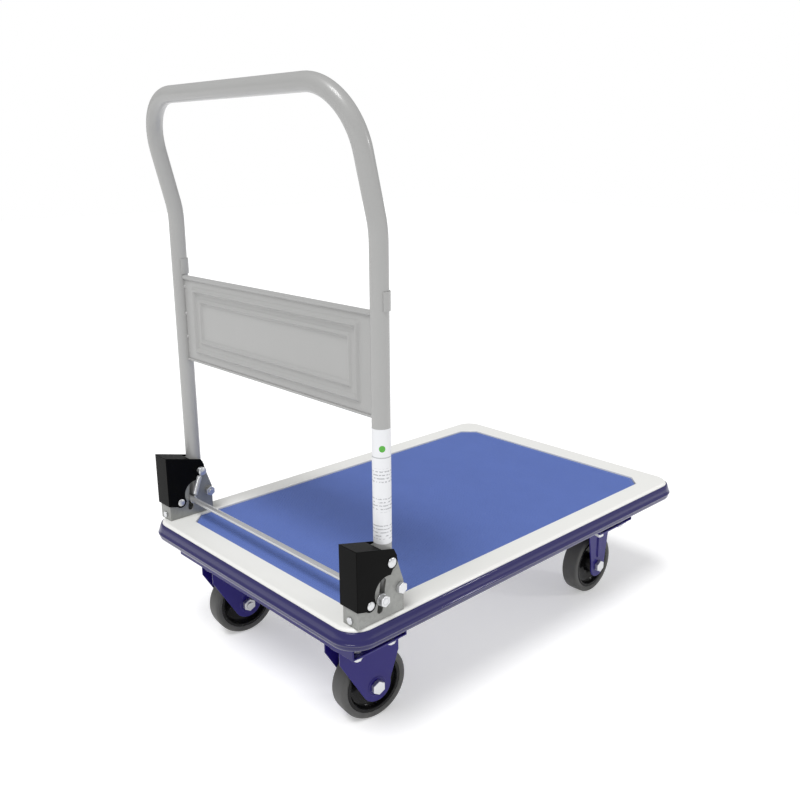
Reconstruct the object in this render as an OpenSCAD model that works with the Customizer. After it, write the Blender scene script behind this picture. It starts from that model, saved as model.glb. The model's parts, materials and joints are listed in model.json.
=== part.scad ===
// Folding platform cart: a flat steel deck on two fixed and two swivel casters, with a push handle
// that pivots in two side brackets and folds forward over the deck.
// X runs across the cart, +Y forward (the handle stands at the -Y end) and +Z up.
// The origin is on the floor under the middle of the deck. All sizes are in millimetres.

/* [Deck] */
// Overall width over the bumper
deck_width = 480; // [400:1:640]
// Overall length over the bumper
deck_length = 720; // [640:1:960]
// Thickness of the deck sheet
deck_sheet = 1.5; // [1:0.1:2.5]
// Depth of the skirt round the deck pan
skirt_depth = 25; // [20:1:40]
// Radius of the pan's rounded top edge
edge_r = 5; // [3:0.5:8]
// Corner radius of the pan
corner_r = 30; // [20:1:50]
// Width of the lip turned inward under the skirt
skirt_lip_w = 12; // [8:1:18]
// Painted border beside the mat
border_side_w = 30; // [28:1:50]
// Painted border in front of and behind the mat
border_end_w = 34; // [26:1:60]
// Depth of the recess that the mat lies in
recess_depth = 5; // [3.5:0.5:8]
// Thickness of the mat
mat_t = 3; // [1.5:0.5:5]
// Length cut off each mat corner at 45 degrees
mat_corner_cut = 21; // [8:1:40]
// Gap between the mat and the wall of its recess
mat_gap = 1; // [0.5:0.5:3]

/* [Bumper] */
// How far the bumper stands out of the skirt
bumper_reach = 7; // [4:0.5:15]
// Step from the deck border down to the bumper's top lip
bumper_drop = 4; // [2:0.5:8]
// Thickness of the bumper's hook under the skirt
bumper_hook_t = 2.4; // [1.5:0.1:4]
// Reach of the bumper's hook under the skirt
bumper_hook_w = 9; // [5:1:14]

/* [Chassis] */
// Height of each cross channel
channel_h = 51.5; // [40:0.5:80]
// Width of each cross channel's web
channel_w = 90; // [84:1:120]
// Sheet thickness of the chassis
chassis_sheet = 2; // [1.5:0.5:3]
// Distance from the pan's sides to the ends of the cross channels
channel_side_inset = 28; // [20:1:40]
// Width of the weld lips along the channels and stiffeners
weld_lip_w = 12; // [8:1:20]
// Width of each lengthwise stiffener
stiffener_w = 44; // [30:1:70]
// Depth of each lengthwise stiffener
stiffener_h = 20; // [12:1:30]
// Distance between the two stiffeners' middles
stiffener_spacing = 220; // [120:1:280]

/* [Casters] */
// Wheel diameter
wheel_d = 100; // [90:1:110]
// Width of the tread
tread_w = 28; // [22:1:30]
// Radial thickness of the tyre
tyre_t = 9; // [6:0.5:14]
// Length of the hub's boss
hub_w = 34; // [31:1:40]
// Rise from the top of the wheel to the top of the caster plate
caster_rise = 29; // [27:1:45]
// Distance from the pan's sides to the casters' middles
caster_side_inset = 83; // [76:1:90]
// Distance from the rear end of the pan to the rear kingpins
kingpin_inset = 68; // [60:1:90]
// Distance from the front end of the pan to the front axle
front_axle_inset = 121; // [90:1:160]
// Swivel offset from the kingpin to the wheel's axle
caster_trail = 24; // [15:1:35]
// Angle that the right swivel caster is turned at rest
right_swivel_angle = -8; // [-40:1:40]
// Angle that the left swivel caster is turned at rest
left_swivel_angle = -6.5; // [-40:0.5:40]
// Caster plate size across the cart
plate_w = 106; // [100:1:110]
// Caster plate size along the cart
plate_l = 78; // [74:1:84]
// Thickness of the caster plate
plate_t = 2.5; // [2:0.5:4]
// Bolt spacing across the cart
plate_bolt_x = 84; // [80:1:88]
// Bolt spacing along the cart
plate_bolt_y = 56; // [52:1:60]
// Thickness of the fork legs
fork_t = 2.5; // [2:0.5:4]
// Width of a swivel fork leg's rounded end
fork_end_w = 44; // [34:1:48]
// Width of a fixed fork leg's rounded end
fixed_end_w = 38; // [30:1:48]
// Radius of the fork's round crown
crown_r = 32; // [29:1:36]
// Bearing ball diameter
ball_d = 5.2; // [4:0.1:6]
// Number of bearing balls
ball_count = 16; // [8:1:18]
// Axle bolt diameter
axle_d = 10; // [8:1:12]
// Kingpin diameter
kingpin_d = 10; // [8:1:12]

/* [Handle] */
// Outside diameter of the handle tube
tube_d = 22; // [18:0.5:28]
// Wall thickness of the handle tube
tube_wall = 1.5; // [1:0.1:2.5]
// Distance from the pan's sides to the legs' middles
leg_side_inset = 16; // [16:1:26]
// Height of the straight legs above the mat
leg_straight_h = 444; // [400:1:600]
// Radius of the bend where the legs lean back
lean_bend_r = 131; // [80:1:250]
// Angle that the handle's top leans back
lean_angle = 13.6; // [0:0.1:25]
// Length from the lean bend to the middle of the top bar
lean_length = 143; // [110:1:300]
// Radius of the two upper corners
top_corner_r = 75; // [40:1:100]
// Length of the tube's tail from the pivot to its rounded end
tail_r = 42; // [40:0.5:43]

/* [Back panel] */
// Height of the panel's lower edge above the mat
panel_low_h = 244; // [200:1:260]
// Height of the panel
panel_h = 126; // [80:1:128]
// Sheet thickness of the panel
panel_t = 1.2; // [0.8:0.1:2]
// Diameter of the rolled bead along the top
panel_bead_d = 7; // [5:0.5:10]
// Depth of the folded flange along the bottom
panel_flange_w = 8; // [5:0.5:14]
// Height of the pressed ridges
panel_ridge_h = 1.6; // [1:0.1:3]
// Width of the pressed ridges
panel_ridge_w = 5; // [3:0.5:8]

/* [Brackets] */
// Length of a bracket in front of the leg
bracket_nose = 10; // [10:0.5:16]
// Height of a bracket
bracket_h = 88; // [86:1:90]
// Sheet thickness of a bracket
bracket_sheet = 2.2; // [1.5:0.1:3]
// Height of the fold pivot above the mat
pivot_h = 72; // [71:0.5:74]
// Distance from a bracket's rear edge to the leg's axis
leg_inset = 52; // [51:0.5:53]
// Distance from the plateau's rear edge to the brackets
bracket_inset = 11; // [8:1:14]
// Height of the release rod above the mat
rod_h = 29; // [27:0.5:31]
// Release rod diameter
rod_d = 8; // [6:0.5:8]
// Travel of the release rod down its slot
rod_travel = 14; // [10:0.5:14]
// Slope of the rod's slot from upright
slot_angle = 8.7; // [4:0.1:12]
// Length of slot that is free above the rod
slot_above = 22; // [12:0.5:23]
// Height of the front stop bolt above the mat
stop_h = 34; // [32:0.5:36]
// Wall thickness of the plastic covers
cover_wall = 2.2; // [1.5:0.1:2.5]
// Wire diameter of the return springs
spring_wire_d = 1.4; // [1:0.1:2]
// Outside diameter of the return springs
spring_d = 8; // [6:0.5:9]

/* [Fits] */
// Radial clearance of pins in the holes that turn on them
pin_fit = 0.05; // [0.02:0.01:0.1]
// Gap between faces that move past each other
move_gap = 0.3; // [0.2:0.05:0.5]
// Gap between seated pieces
seat_gap = 0.1; // [0.05:0.05:0.2]

/* [Hidden] */
$fn = 96;

cut = 1; // overshoot of a cutter past the face it opens

// Deck heights and half sizes
caster_h = wheel_d + caster_rise;               // from the floor to the top of the caster plates
floor_under_z = caster_h + channel_h;           // underside of the recess floor
deck_top_z = floor_under_z + deck_sheet + recess_depth;
recess_z = deck_top_z - recess_depth;           // top of the recess floor
mat_z = recess_z + mat_t;                       // top of the mat
skirt_low_z = deck_top_z - skirt_depth;
half_w = deck_width / 2 - bumper_reach;         // the pan's skin
half_l = deck_length / 2 - bumper_reach;
bumper_h = skirt_depth - bumper_drop + seat_gap + bumper_hook_t;
channel_length = 2 * (half_w - channel_side_inset);
mat_half_w = half_w - edge_r - border_side_w;
mat_half_l = half_l - edge_r - border_end_w;

// Bracket and handle places
leg_x = half_w - leg_side_inset;
tube_r = tube_d / 2;
bracket_l = leg_inset + tube_r + bracket_nose;
bracket_y = -half_l + bracket_inset;            // rear edge of the brackets
leg_y = bracket_y + leg_inset;                  // the legs' axis and the fold pivot
pivot_z = mat_z + pivot_h;
bracket_in = tube_r + move_gap;                 // half the space between a bracket's plates
bracket_out = bracket_in + bracket_sheet;
cover_in = bracket_out + move_gap;
cover_out = cover_in + cover_wall;
rod_r = rod_d / 2;
rod_y = leg_y - tube_r - rod_r - move_gap;
rod_z = mat_z + rod_h;
slot_r = rod_r + move_gap;
pivot_pin_r = 4;
stop_bolt_r = 4;
stop_y = leg_y + tube_r + stop_bolt_r + move_gap;
stop_z = mat_z + stop_h;
rivet_r = 3;
rivet_y = bracket_y + 18;
rivet_z = mat_z + 28;
foot_screw_z = deck_top_z + 8;
spring_x = leg_x - cover_out - spring_d / 2 - move_gap;
hook_r = rod_r + move_gap + spring_wire_d / 2;  // middle of the wire round the rod

// Cover outline, as distances from the bracket's rear edge and heights above the mat
cover_rear = -move_gap - cover_wall;
cover_rear_top = 103;
cover_front_top = 88;
cover_front = 61;
cover_low = 26;
cover_notch = [45, 37];
cover_notch_r = 20;
pivot_lobe_r = 9.5;
rivet_lobe_r = 8.5;

// Caster places
rear_x = half_w - caster_side_inset;
kingpin_y = -half_l + kingpin_inset;
front_y = half_l - front_axle_inset;
wheel_r = wheel_d / 2;
axle_r = axle_d / 2;
kingpin_r = kingpin_d / 2;
plate_z = caster_h - plate_t;                   // underside of the caster plates
race_h = 4;
race_r = 25;
ball_circle_r = 19;
crown_z = plate_z - race_h - ball_d - 2 * seat_gap;  // top of the fork crown
shield_r = race_r + 3;
swivel_gap = hub_w / 2 + 2 * seat_gap + seat_gap;    // inner face of a swivel fork leg
fixed_gap = swivel_gap + 4;                     // inner face of a fixed fork leg
rim_r = wheel_r - tyre_t;
bush_r = axle_r + 3;
bolt_r = 4;
hex_af = 13;                                    // M8 spanner size
axle_af = 17;                                   // M10 spanner size
hex_h = 6.5;

// Colours
paint_grey = [0.76, 0.77, 0.76];
border_white = [0.88, 0.88, 0.86];
mat_blue = [0.37, 0.46, 0.73];
bumper_indigo = [0.27, 0.26, 0.45];
caster_violet = [0.20, 0.14, 0.52];
zinc = [0.72, 0.73, 0.74];
cover_black = [0.05, 0.05, 0.06];
tyre_grey = [0.45, 0.45, 0.45];
hub_black = [0.10, 0.10, 0.11];
label_white = [0.95, 0.95, 0.95];

// ---------- shared shapes ----------

// A rectangle round the origin with round corners
module round_rect(hx, hy, r) {
    square([2 * hx, 2 * (hy - r)], center = true);
    square([2 * (hx - r), 2 * hy], center = true);
    for (sx = [-1, 1], sy = [-1, 1]) translate([sx * (hx - r), sy * (hy - r)]) circle(r);
}

// The mat's outline, grown by g on every side
module mat_outline(g) {
    hx = mat_half_w + g;
    hy = mat_half_l + g;
    c = mat_corner_cut + g * (2 - sqrt(2));
    polygon([[hx - c, hy], [hx, hy - c], [hx, c - hy], [hx - c, -hy],
        [c - hx, -hy], [-hx, c - hy], [-hx, hy - c], [c - hx, hy]]);
}

// A section swept round the pan's skin: x is outward from the skin, y is height
module around_skin() {
    straight_x = half_w - corner_r;
    straight_y = half_l - corner_r;
    for (side = [0, 180]) rotate([0, 0, side]) {
        translate([half_w, straight_y, 0]) rotate([90, 0, 0]) linear_extrude(2 * straight_y) children();
        rotate([0, 0, 90]) translate([half_l, straight_x, 0]) rotate([90, 0, 0])
            linear_extrude(2 * straight_x) children();
        translate([straight_x, straight_y, 0]) rotate_extrude(angle = 90)
            translate([corner_r, 0]) children();
        translate([-straight_x, straight_y, 0]) rotate([0, 0, 90]) rotate_extrude(angle = 90)
            translate([corner_r, 0]) children();
    }
}

// A cylinder along X between two places
module rod_x(r, x0, x1) {
    translate([x0, 0, 0]) rotate([0, 90, 0]) cylinder(r = r, h = x1 - x0);
}

// A hexagon along X, with its spanner size
module hex_x(af, x0, x1) {
    translate([x0, 0, 0]) rotate([0, 90, 0]) cylinder(d = af / cos(30), h = x1 - x0, $fn = 6);
}

// A flat shape drawn in Y and Z, extruded along X between two places
module yz_plate(x0, x1) {
    translate([x0, 0, 0]) rotate([90, 0, 90]) linear_extrude(x1 - x0) children();
}

// Places at the left (-1) or right (1) leg
module at_leg(side, y, z) {
    translate([side * leg_x, y, z]) children();
}

// ---------- deck ----------

module pan_section() {
    flat_h = skirt_depth - edge_r;
    inner_w = skirt_lip_w - deck_sheet;
    inner_r = edge_r - deck_sheet;
    difference() {
        union() {
            translate([-skirt_lip_w, -skirt_depth]) square([skirt_lip_w, flat_h]);
            translate([-skirt_lip_w, -edge_r]) square([skirt_lip_w - edge_r, edge_r]);
            translate([-edge_r, -edge_r]) circle(edge_r);
        }
        translate([-skirt_lip_w - cut, -skirt_depth + deck_sheet])
            square([inner_w + cut, flat_h - deck_sheet]);
        translate([-skirt_lip_w - cut, -edge_r - cut])
            square([skirt_lip_w - edge_r + cut, inner_r + cut]);
        translate([-edge_r, -edge_r]) circle(inner_r);
    }
}

module deck_pan() {
    plate_in = skirt_lip_w - 1;
    color(border_white) difference() {
        union() {
            translate([0, 0, deck_top_z]) around_skin() pan_section();
            translate([0, 0, deck_top_z - deck_sheet]) linear_extrude(deck_sheet) difference() {
                round_rect(half_w - plate_in, half_l - plate_in, corner_r - plate_in);
                mat_outline(mat_gap);
            }
            translate([0, 0, floor_under_z]) linear_extrude(recess_depth + deck_sheet) difference() {
                mat_outline(mat_gap + deck_sheet);
                mat_outline(mat_gap);
            }
            translate([0, 0, floor_under_z]) linear_extrude(deck_sheet)
                mat_outline(mat_gap + deck_sheet);
        }
        for (side = [-1, 1], y = bracket_bolt_ys)
            at_leg(side, y, deck_top_z - 2 * deck_sheet)
                cylinder(r = rivet_r + seat_gap, h = 3 * deck_sheet);
    }
}

// The upright tab inside each bracket that its foot screw goes into
module foot_tabs() {
    tab_w = 14;
    tab_h = 12;
    color(border_white) for (side = [-1, 1])
        at_leg(side, bracket_y + bracket_sheet + seat_gap, 0) difference() {
            translate([-tab_w / 2, 0, deck_top_z]) cube([tab_w, chassis_sheet, tab_h]);
            translate([0, -cut, foot_screw_z]) rotate([-90, 0, 0])
                cylinder(r = foot_screw_r + seat_gap, h = chassis_sheet + 2 * cut);
        }
}

module deck_mat() {
    color(mat_blue) translate([0, 0, recess_z]) linear_extrude(mat_t) mat_outline(0);
}

module bumper() {
    steps = 14;
    top = -bumper_drop;
    low = -bumper_drop - bumper_h;
    mid = (top + low) / 2;
    fullness = 0.6;
    curve = [for (i = [0:steps]) let (t = 90 - 180 * i / steps)
        [bumper_reach * pow(max(cos(t), 0), fullness), mid + bumper_h / 2 * sin(t)]];
    color(bumper_indigo) translate([0, 0, deck_top_z]) around_skin() union() {
        polygon(curve);
        translate([-bumper_hook_w, low]) square([bumper_hook_w + bumper_reach / 4, bumper_hook_t]);
    }
}

// A channel open at the top with weld lips turned outward, drawn as its end section
module hat_section(w, h, t) {
    difference() {
        union() {
            translate([-w / 2, 0]) square([w, h]);
            translate([-w / 2 - weld_lip_w, h - t]) square([w + 2 * weld_lip_w, t]);
        }
        translate([-w / 2 + t, t]) square([w - 2 * t, h]);
    }
}

module cross_channel(y) {
    pin_hole_r = 12;
    color(caster_violet) difference() {
        translate([-channel_length / 2, y, caster_h]) rotate([90, 0, 90])
            linear_extrude(channel_length) hat_section(channel_w, channel_h, chassis_sheet);
        at_caster_bolts(y) translate([0, 0, caster_h - cut])
            cylinder(r = bolt_r + seat_gap, h = chassis_sheet + 2 * cut);
        for (side = [-1, 1]) translate([side * rear_x, y, caster_h - cut])
            cylinder(r = pin_hole_r, h = chassis_sheet + 2 * cut);
    }
}

module deck_stiffeners() {
    y0 = kingpin_y + channel_w / 2 + weld_lip_w + move_gap;
    y1 = front_y - channel_w / 2 - weld_lip_w - move_gap;
    color(caster_violet) for (side = [-1, 1])
        translate([side * stiffener_spacing / 2, y1, floor_under_z - stiffener_h])
            rotate([90, 0, 0]) linear_extrude(y1 - y0)
                hat_section(stiffener_w, stiffener_h, deck_sheet);
}

// ---------- brackets ----------

bracket_bolt_ys = [bracket_y + 16, bracket_y + 60];
foot_screw_r = 2.5;
base_front = 12;    // how far the base flange stops short of the bracket's front edge

module bracket_outline() {
    low = deck_top_z - mat_z;
    translate([bracket_y, mat_z]) polygon([[0, low], [bracket_l, low], [bracket_l, 41],
        [bracket_l - 7.5, 63], [bracket_l - 13, bracket_h - 5], [bracket_l - 18, bracket_h], [0, bracket_h]]);
}

// The slanted slot that the release rod slides in
module rod_slot(x0, x1) {
    length = slot_above + rod_travel;
    translate([0, rod_y, rod_z]) rotate([-slot_angle, 0, 0]) {
        for (z = [slot_above, -rod_travel]) translate([0, 0, z]) rod_x(slot_r, x0, x1);
        translate([x0, -slot_r, -rod_travel]) cube([x1 - x0, 2 * slot_r, length]);
    }
}

module bracket(side) {
    web_h = 62;
    base_rear = 8;
    color(zinc) difference() {
        union() {
            translate([side * leg_x, 0, 0]) {
                yz_plate(-bracket_out, -bracket_in) bracket_outline();
                yz_plate(bracket_in, bracket_out) bracket_outline();
                translate([-bracket_out, bracket_y, deck_top_z])
                    cube([2 * bracket_out, bracket_sheet, web_h]);
                translate([-bracket_out, bracket_y + base_rear, deck_top_z])
                    cube([2 * bracket_out, bracket_l - base_rear - 2, bracket_sheet]);
            }
        }
        translate([side * leg_x, 0, 0]) {
            rod_slot(-bracket_out - cut, bracket_out + cut);
            translate([0, leg_y, pivot_z])
                rod_x(pivot_pin_r + pin_fit, -bracket_out - cut, bracket_out + cut);
            translate([0, stop_y, stop_z])
                rod_x(stop_bolt_r + pin_fit, -bracket_out - cut, bracket_out + cut);
            translate([0, rivet_y, rivet_z])
                rod_x(rivet_r + pin_fit, -bracket_out - cut, bracket_out + cut);
            for (y = bracket_bolt_ys) translate([0, y, deck_top_z - cut])
                cylinder(r = rivet_r + seat_gap, h = bracket_sheet + 2 * cut);
            translate([0, bracket_y - cut, foot_screw_z]) rotate([-90, 0, 0])
                cylinder(r = foot_screw_r + seat_gap, h = bracket_sheet + 2 * cut);
        }
    }
}

module cover_outline() {
    translate([bracket_y, mat_z]) difference() {
        polygon([[cover_rear, cover_low], [cover_rear, cover_rear_top],
            [cover_front - 5, cover_front_top], [cover_front, pivot_h + 6],
            [leg_inset + 4, pivot_h - 6], [leg_inset - 4, pivot_h - 20],
            [30, 28], [20, 24], [12, 22]]);
        translate(cover_notch) circle(cover_notch_r);
    }
}

// The space inside a cover: closed behind and on top, open in front and below
module cover_hollow() {
    slope = (cover_rear_top - cover_front_top) / (cover_front - 5 - cover_rear);
    top_rear = cover_rear_top - cover_wall - slope * cover_wall;
    front = cover_front + 20;
    translate([bracket_y, mat_z]) polygon([[-move_gap, -10], [-move_gap, top_rear],
        [front, top_rear - slope * (front + move_gap)], [front, -10]]);
}

module cover(side) {
    tube_notch = 3;
    color(cover_black) translate([side * leg_x, 0, 0]) difference() {
        union() {
            yz_plate(-cover_out, cover_out) cover_outline();
            translate([0, leg_y, pivot_z]) rod_x(pivot_lobe_r, -cover_out, cover_out);
            translate([0, rivet_y, rivet_z]) rod_x(rivet_lobe_r, -cover_out, cover_out);
        }
        yz_plate(-cover_in, cover_in) cover_hollow();
        translate([-tube_r - tube_notch, leg_y - tube_r - tube_notch, pivot_z])
            cube([2 * (tube_r + tube_notch), 60, 60]);
        translate([0, leg_y, pivot_z]) rod_x(pivot_pin_r + pin_fit, -cover_out - cut, cover_out + cut);
        translate([0, rivet_y, rivet_z]) rod_x(rivet_r + pin_fit, -cover_out - cut, cover_out + cut);
    }
}

// Each pivot pin reaches past the cover's inner side, where it carries the return spring
module pivot_pins() {
    head_r = 6.5;
    head_t = 2.5;
    stub = spring_d + 2 * move_gap;
    color(zinc) for (side = [-1, 1]) at_leg(side, leg_y, pivot_z) rotate([0, 0, side > 0 ? 0 : 180]) {
        rod_x(pivot_pin_r, -cover_out - stub, cover_out + seat_gap);
        rod_x(head_r, cover_out + seat_gap, cover_out + seat_gap + head_t);
        rod_x(head_r, -cover_out - stub - head_t, -cover_out - stub);
    }
}

module stop_bolts() {
    thread_out = 2;
    color(zinc) for (side = [-1, 1]) at_leg(side, stop_y, stop_z) rotate([0, 0, side > 0 ? 0 : 180]) {
        rod_x(stop_bolt_r, -bracket_out - hex_h - thread_out, bracket_out + seat_gap);
        hex_x(hex_af, bracket_out + seat_gap, bracket_out + seat_gap + 5.3);
    }
}

module stop_nuts() {
    color(zinc) for (side = [-1, 1]) at_leg(side, stop_y, stop_z) rotate([0, 0, side > 0 ? 0 : 180])
        difference() {
            hex_x(hex_af, -bracket_out - hex_h, -bracket_out - seat_gap);
            rod_x(stop_bolt_r + pin_fit, -bracket_out - hex_h - cut, -bracket_out);
        }
}

module cover_rivets() {
    head_r = 5.5;
    head_t = 2;
    color(zinc) for (side = [-1, 1]) at_leg(side, rivet_y, rivet_z) {
        rod_x(rivet_r, -cover_out - seat_gap, cover_out + seat_gap);
        for (end = [0, 180]) rotate([0, 0, end])
            rod_x(head_r, cover_out + seat_gap, cover_out + seat_gap + head_t);
    }
}

module bracket_bolts() {
    head_r = 5.5;
    head_t = 3;
    thread = 11;
    head_z = deck_top_z + bracket_sheet + seat_gap;
    color(zinc) for (side = [-1, 1], y = bracket_bolt_ys) at_leg(side, y, 0) {
        translate([0, 0, head_z]) cylinder(r = head_r, h = head_t);
        translate([0, 0, head_z - thread]) cylinder(r = rivet_r, h = thread);
    }
}

module bracket_nuts() {
    nut_t = 5;
    nut_af = 10;
    top = deck_top_z - deck_sheet - seat_gap;
    color(zinc) for (side = [-1, 1], y = bracket_bolt_ys) at_leg(side, y, top - nut_t) difference() {
        cylinder(d = nut_af / cos(30), h = nut_t, $fn = 6);
        translate([0, 0, -cut]) cylinder(r = rivet_r + pin_fit, h = nut_t + 2 * cut);
    }
}

module foot_screws() {
    head_r = 4.5;
    head_t = 2.2;
    shank = bracket_sheet + chassis_sheet + 3;
    color(zinc) for (side = [-1, 1]) at_leg(side, bracket_y - seat_gap, foot_screw_z)
        rotate([-90, 0, 0]) {
            cylinder(r = foot_screw_r, h = shank);
            translate([0, 0, -head_t]) cylinder(r = head_r, h = head_t);
        }
}

// ---------- handle ----------

// The handle's path as a solid bar of radius r. A faint collar joins each bend to the leaning part,
// which stops a hair short of it.
module handle_bar(r) {
    bend_z = mat_z + leg_straight_h;
    corner_x = leg_x - top_corner_r;
    lean_straight = lean_length - top_corner_r;
    hair = 0.02;
    collar_r = r + 0.05;
    collar_h = 1;
    for (side = [-1, 1]) {
        translate([side * leg_x, leg_y, pivot_z - tail_r - cut])
            cylinder(r = r, h = bend_z - pivot_z + tail_r + cut);
        translate([side * leg_x, leg_y - lean_bend_r, bend_z]) rotate([90, 0, 90])
            rotate_extrude(angle = lean_angle) translate([lean_bend_r, 0]) circle(r);
    }
    translate([0, leg_y - lean_bend_r, bend_z]) rotate([lean_angle, 0, 0])
        translate([0, lean_bend_r, 0]) {
            for (side = [-1, 1]) translate([side * leg_x, 0, 0]) {
                translate([0, 0, hair]) cylinder(r = r, h = lean_straight - hair);
                translate([0, 0, -collar_h / 2]) cylinder(r = collar_r, h = collar_h);
            }
            translate([corner_x, 0, lean_straight]) rotate([90, 0, 0])
                rotate_extrude(angle = 90) translate([top_corner_r, 0]) circle(r);
            translate([-corner_x, 0, lean_straight]) rotate([90, 0, 0]) rotate([0, 0, 90])
                rotate_extrude(angle = 90) translate([top_corner_r, 0]) circle(r);
            translate([0, 0, lean_length]) rod_x(r, -corner_x, corner_x);
        }
}

// The tail's end is round about the pivot, so that it passes the release rod as the rod goes down
module handle_tube() {
    color(paint_grey) difference() {
        handle_bar(tube_r);
        handle_bar(tube_r - tube_wall);
        for (side = [-1, 1]) at_leg(side, leg_y, pivot_z) {
            rod_x(pivot_pin_r + pin_fit, -tube_d, tube_d);
            difference() {
                translate([-tube_d, -tube_d, -2 * tail_r]) cube([2 * tube_d, 2 * tube_d, tail_r * 1.5]);
                rod_x(tail_r, -tube_d - cut, tube_d + cut);
            }
        }
    }
}

module back_panel() {
    panel_half = leg_x - tube_r - seat_gap;
    low = mat_z + panel_low_h;
    bead_z = low + panel_h - panel_bead_d / 2;
    outer = [26, 14, 14];    // ridge distance from the sides, the bottom and the top
    inner = [38, 28, 30];
    color(paint_grey) translate([0, leg_y, 0]) {
        translate([-panel_half, -panel_t / 2, low]) cube([2 * panel_half, panel_t, panel_h - panel_bead_d / 2]);
        translate([0, 0, bead_z]) rod_x(panel_bead_d / 2, -panel_half, panel_half);
        translate([-panel_half, -panel_t / 2, low]) cube([2 * panel_half, panel_flange_w, panel_t]);
        for (m = [outer, inner]) {
            w = 2 * (panel_half - m[0]);
            h = panel_h - m[1] - m[2];
            translate([0, panel_t / 2 - seat_gap, low + m[1] + h / 2]) rotate([-90, 0, 0])
                linear_extrude(panel_ridge_h + seat_gap) difference() {
                    square([w, h], center = true);
                    square([w - 2 * panel_ridge_w, h - 2 * panel_ridge_w], center = true);
                }
        }
    }
}

// Saddle clips hug the front of each leg just above the panel
module leg_clips() {
    clip_h = 22;
    clip_t = 1.6;
    rise = panel_low_h + panel_h + 1;
    clip_in = tube_r + seat_gap;
    color(paint_grey) for (side = [-1, 1]) at_leg(side, leg_y, mat_z + rise) difference() {
        cylinder(r = clip_in + clip_t, h = clip_h);
        translate([0, 0, -cut]) cylinder(r = clip_in, h = clip_h + 2 * cut);
        translate([-tube_d, -tube_d - 4, -cut]) cube([2 * tube_d, tube_d, clip_h + 2 * cut]);
    }
}

module leg_label() {
    low = 95;
    label_h = 141;
    wrap = 170;
    label_t = 0.2;
    color(label_white) at_leg(1, leg_y, mat_z + low) rotate([0, 0, -45 - wrap / 2])
        rotate_extrude(angle = wrap) translate([tube_r + seat_gap / 2, 0]) square([label_t, label_h]);
}

// ---------- release rod ----------

rod_half = leg_x + cover_out + 6;
rod_washer_t = 1.5;

module release_rod() {
    color(zinc) translate([0, rod_y, rod_z]) rod_x(rod_r, -rod_half, rod_half);
}

module rod_washers() {
    washer_r = 7.5;
    color(zinc) for (side = [-1, 1]) at_leg(side, rod_y, rod_z) rotate([0, 0, side > 0 ? 0 : 180])
        difference() {
            rod_x(washer_r, bracket_out + move_gap, bracket_out + move_gap + rod_washer_t);
            rod_x(rod_r + pin_fit, bracket_out, bracket_out + 2 * rod_washer_t);
        }
}

module rod_nuts() {
    start = bracket_out + move_gap + rod_washer_t + seat_gap;
    color(zinc) for (side = [-1, 1]) at_leg(side, rod_y, rod_z) rotate([0, 0, side > 0 ? 0 : 180])
        difference() {
            hex_x(hex_af, start, start + hex_h);
            rod_x(rod_r + pin_fit, start - cut, start + hex_h + cut);
        }
}

// A close-wound spring with a ring at each end, from the pivot pin down to the rod
module return_spring(side) {
    span_y = leg_y - rod_y;
    span_z = pivot_z - rod_z;
    span = sqrt(span_y * span_y + span_z * span_z);
    wire_r = spring_wire_d / 2;
    coil_r = spring_d / 2 - wire_r;
    coil_low = hook_r + spring_d / 2;
    turns = floor((span - 2 * coil_low) / spring_wire_d);
    pitch = (span - 2 * coil_low) / turns;
    color(zinc) translate([side * spring_x, rod_y, rod_z]) rotate([-atan2(span_y, span_z), 0, 0]) {
        rotate_extrude() {
            translate([coil_r - wire_r / 2, coil_low]) square([wire_r, span - 2 * coil_low]);
            for (i = [0:turns]) translate([coil_r, coil_low + i * pitch]) circle(wire_r, $fn = 24);
        }
        for (z = [0, span]) translate([0, 0, z]) rotate([0, 90, 0])
            rotate_extrude() translate([hook_r, 0]) circle(wire_r, $fn = 24);
        for (z = [hook_r, span - coil_low]) translate([0, 0, z - wire_r])
            cylinder(r = wire_r, h = coil_low - hook_r + spring_wire_d);
        for (z = [coil_low, span - coil_low]) translate([-coil_r, 0, z]) rod_x(wire_r, 0, 2 * coil_r);
    }
}

// ---------- casters ----------

module at_caster_bolts(y) {
    for (side = [-1, 1], bx = [-0.5, 0.5], by = [-0.5, 0.5])
        translate([side * rear_x + bx * plate_bolt_x, y + by * plate_bolt_y, 0]) children();
}

// A flat caster plate with its four bolt holes, round the caster's own axis
module caster_plate() {
    plate_corner_r = 8;
    difference() {
        linear_extrude(plate_t) round_rect(plate_w / 2, plate_l / 2, plate_corner_r);
        for (bx = [-0.5, 0.5], by = [-0.5, 0.5])
            translate([bx * plate_bolt_x, by * plate_bolt_y, -cut])
                cylinder(r = bolt_r + seat_gap, h = plate_t + 2 * cut);
    }
}

// Turns a rear caster's pieces to the angle they have at rest
module at_swivel(side) {
    translate([side * rear_x, kingpin_y, 0])
        rotate([0, 0, side > 0 ? right_swivel_angle : left_swivel_angle]) children();
}

module swivel_plate(side) {
    color(caster_violet) translate([side * rear_x, kingpin_y, 0]) difference() {
        union() {
            translate([0, 0, plate_z]) caster_plate();
            translate([0, 0, plate_z - race_h]) cylinder(r = race_r, h = race_h + plate_t / 2);
        }
        translate([0, 0, plate_z - race_h - cut])
            cylinder(r = kingpin_r + pin_fit, h = race_h + plate_t + 2 * cut);
    }
}

module kingpin(side) {
    head_r = 9;
    head_t = 4;
    nut_z = crown_z - fork_t - move_gap;
    color(zinc) translate([side * rear_x, kingpin_y, 0]) {
        translate([0, 0, nut_z - hex_h]) cylinder(r = kingpin_r, h = caster_h + seat_gap - nut_z + hex_h);
        translate([0, 0, nut_z - hex_h]) cylinder(d = axle_af / cos(30), h = hex_h, $fn = 6);
        translate([0, 0, caster_h + seat_gap]) cylinder(r = head_r, h = head_t);
    }
}

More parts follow.
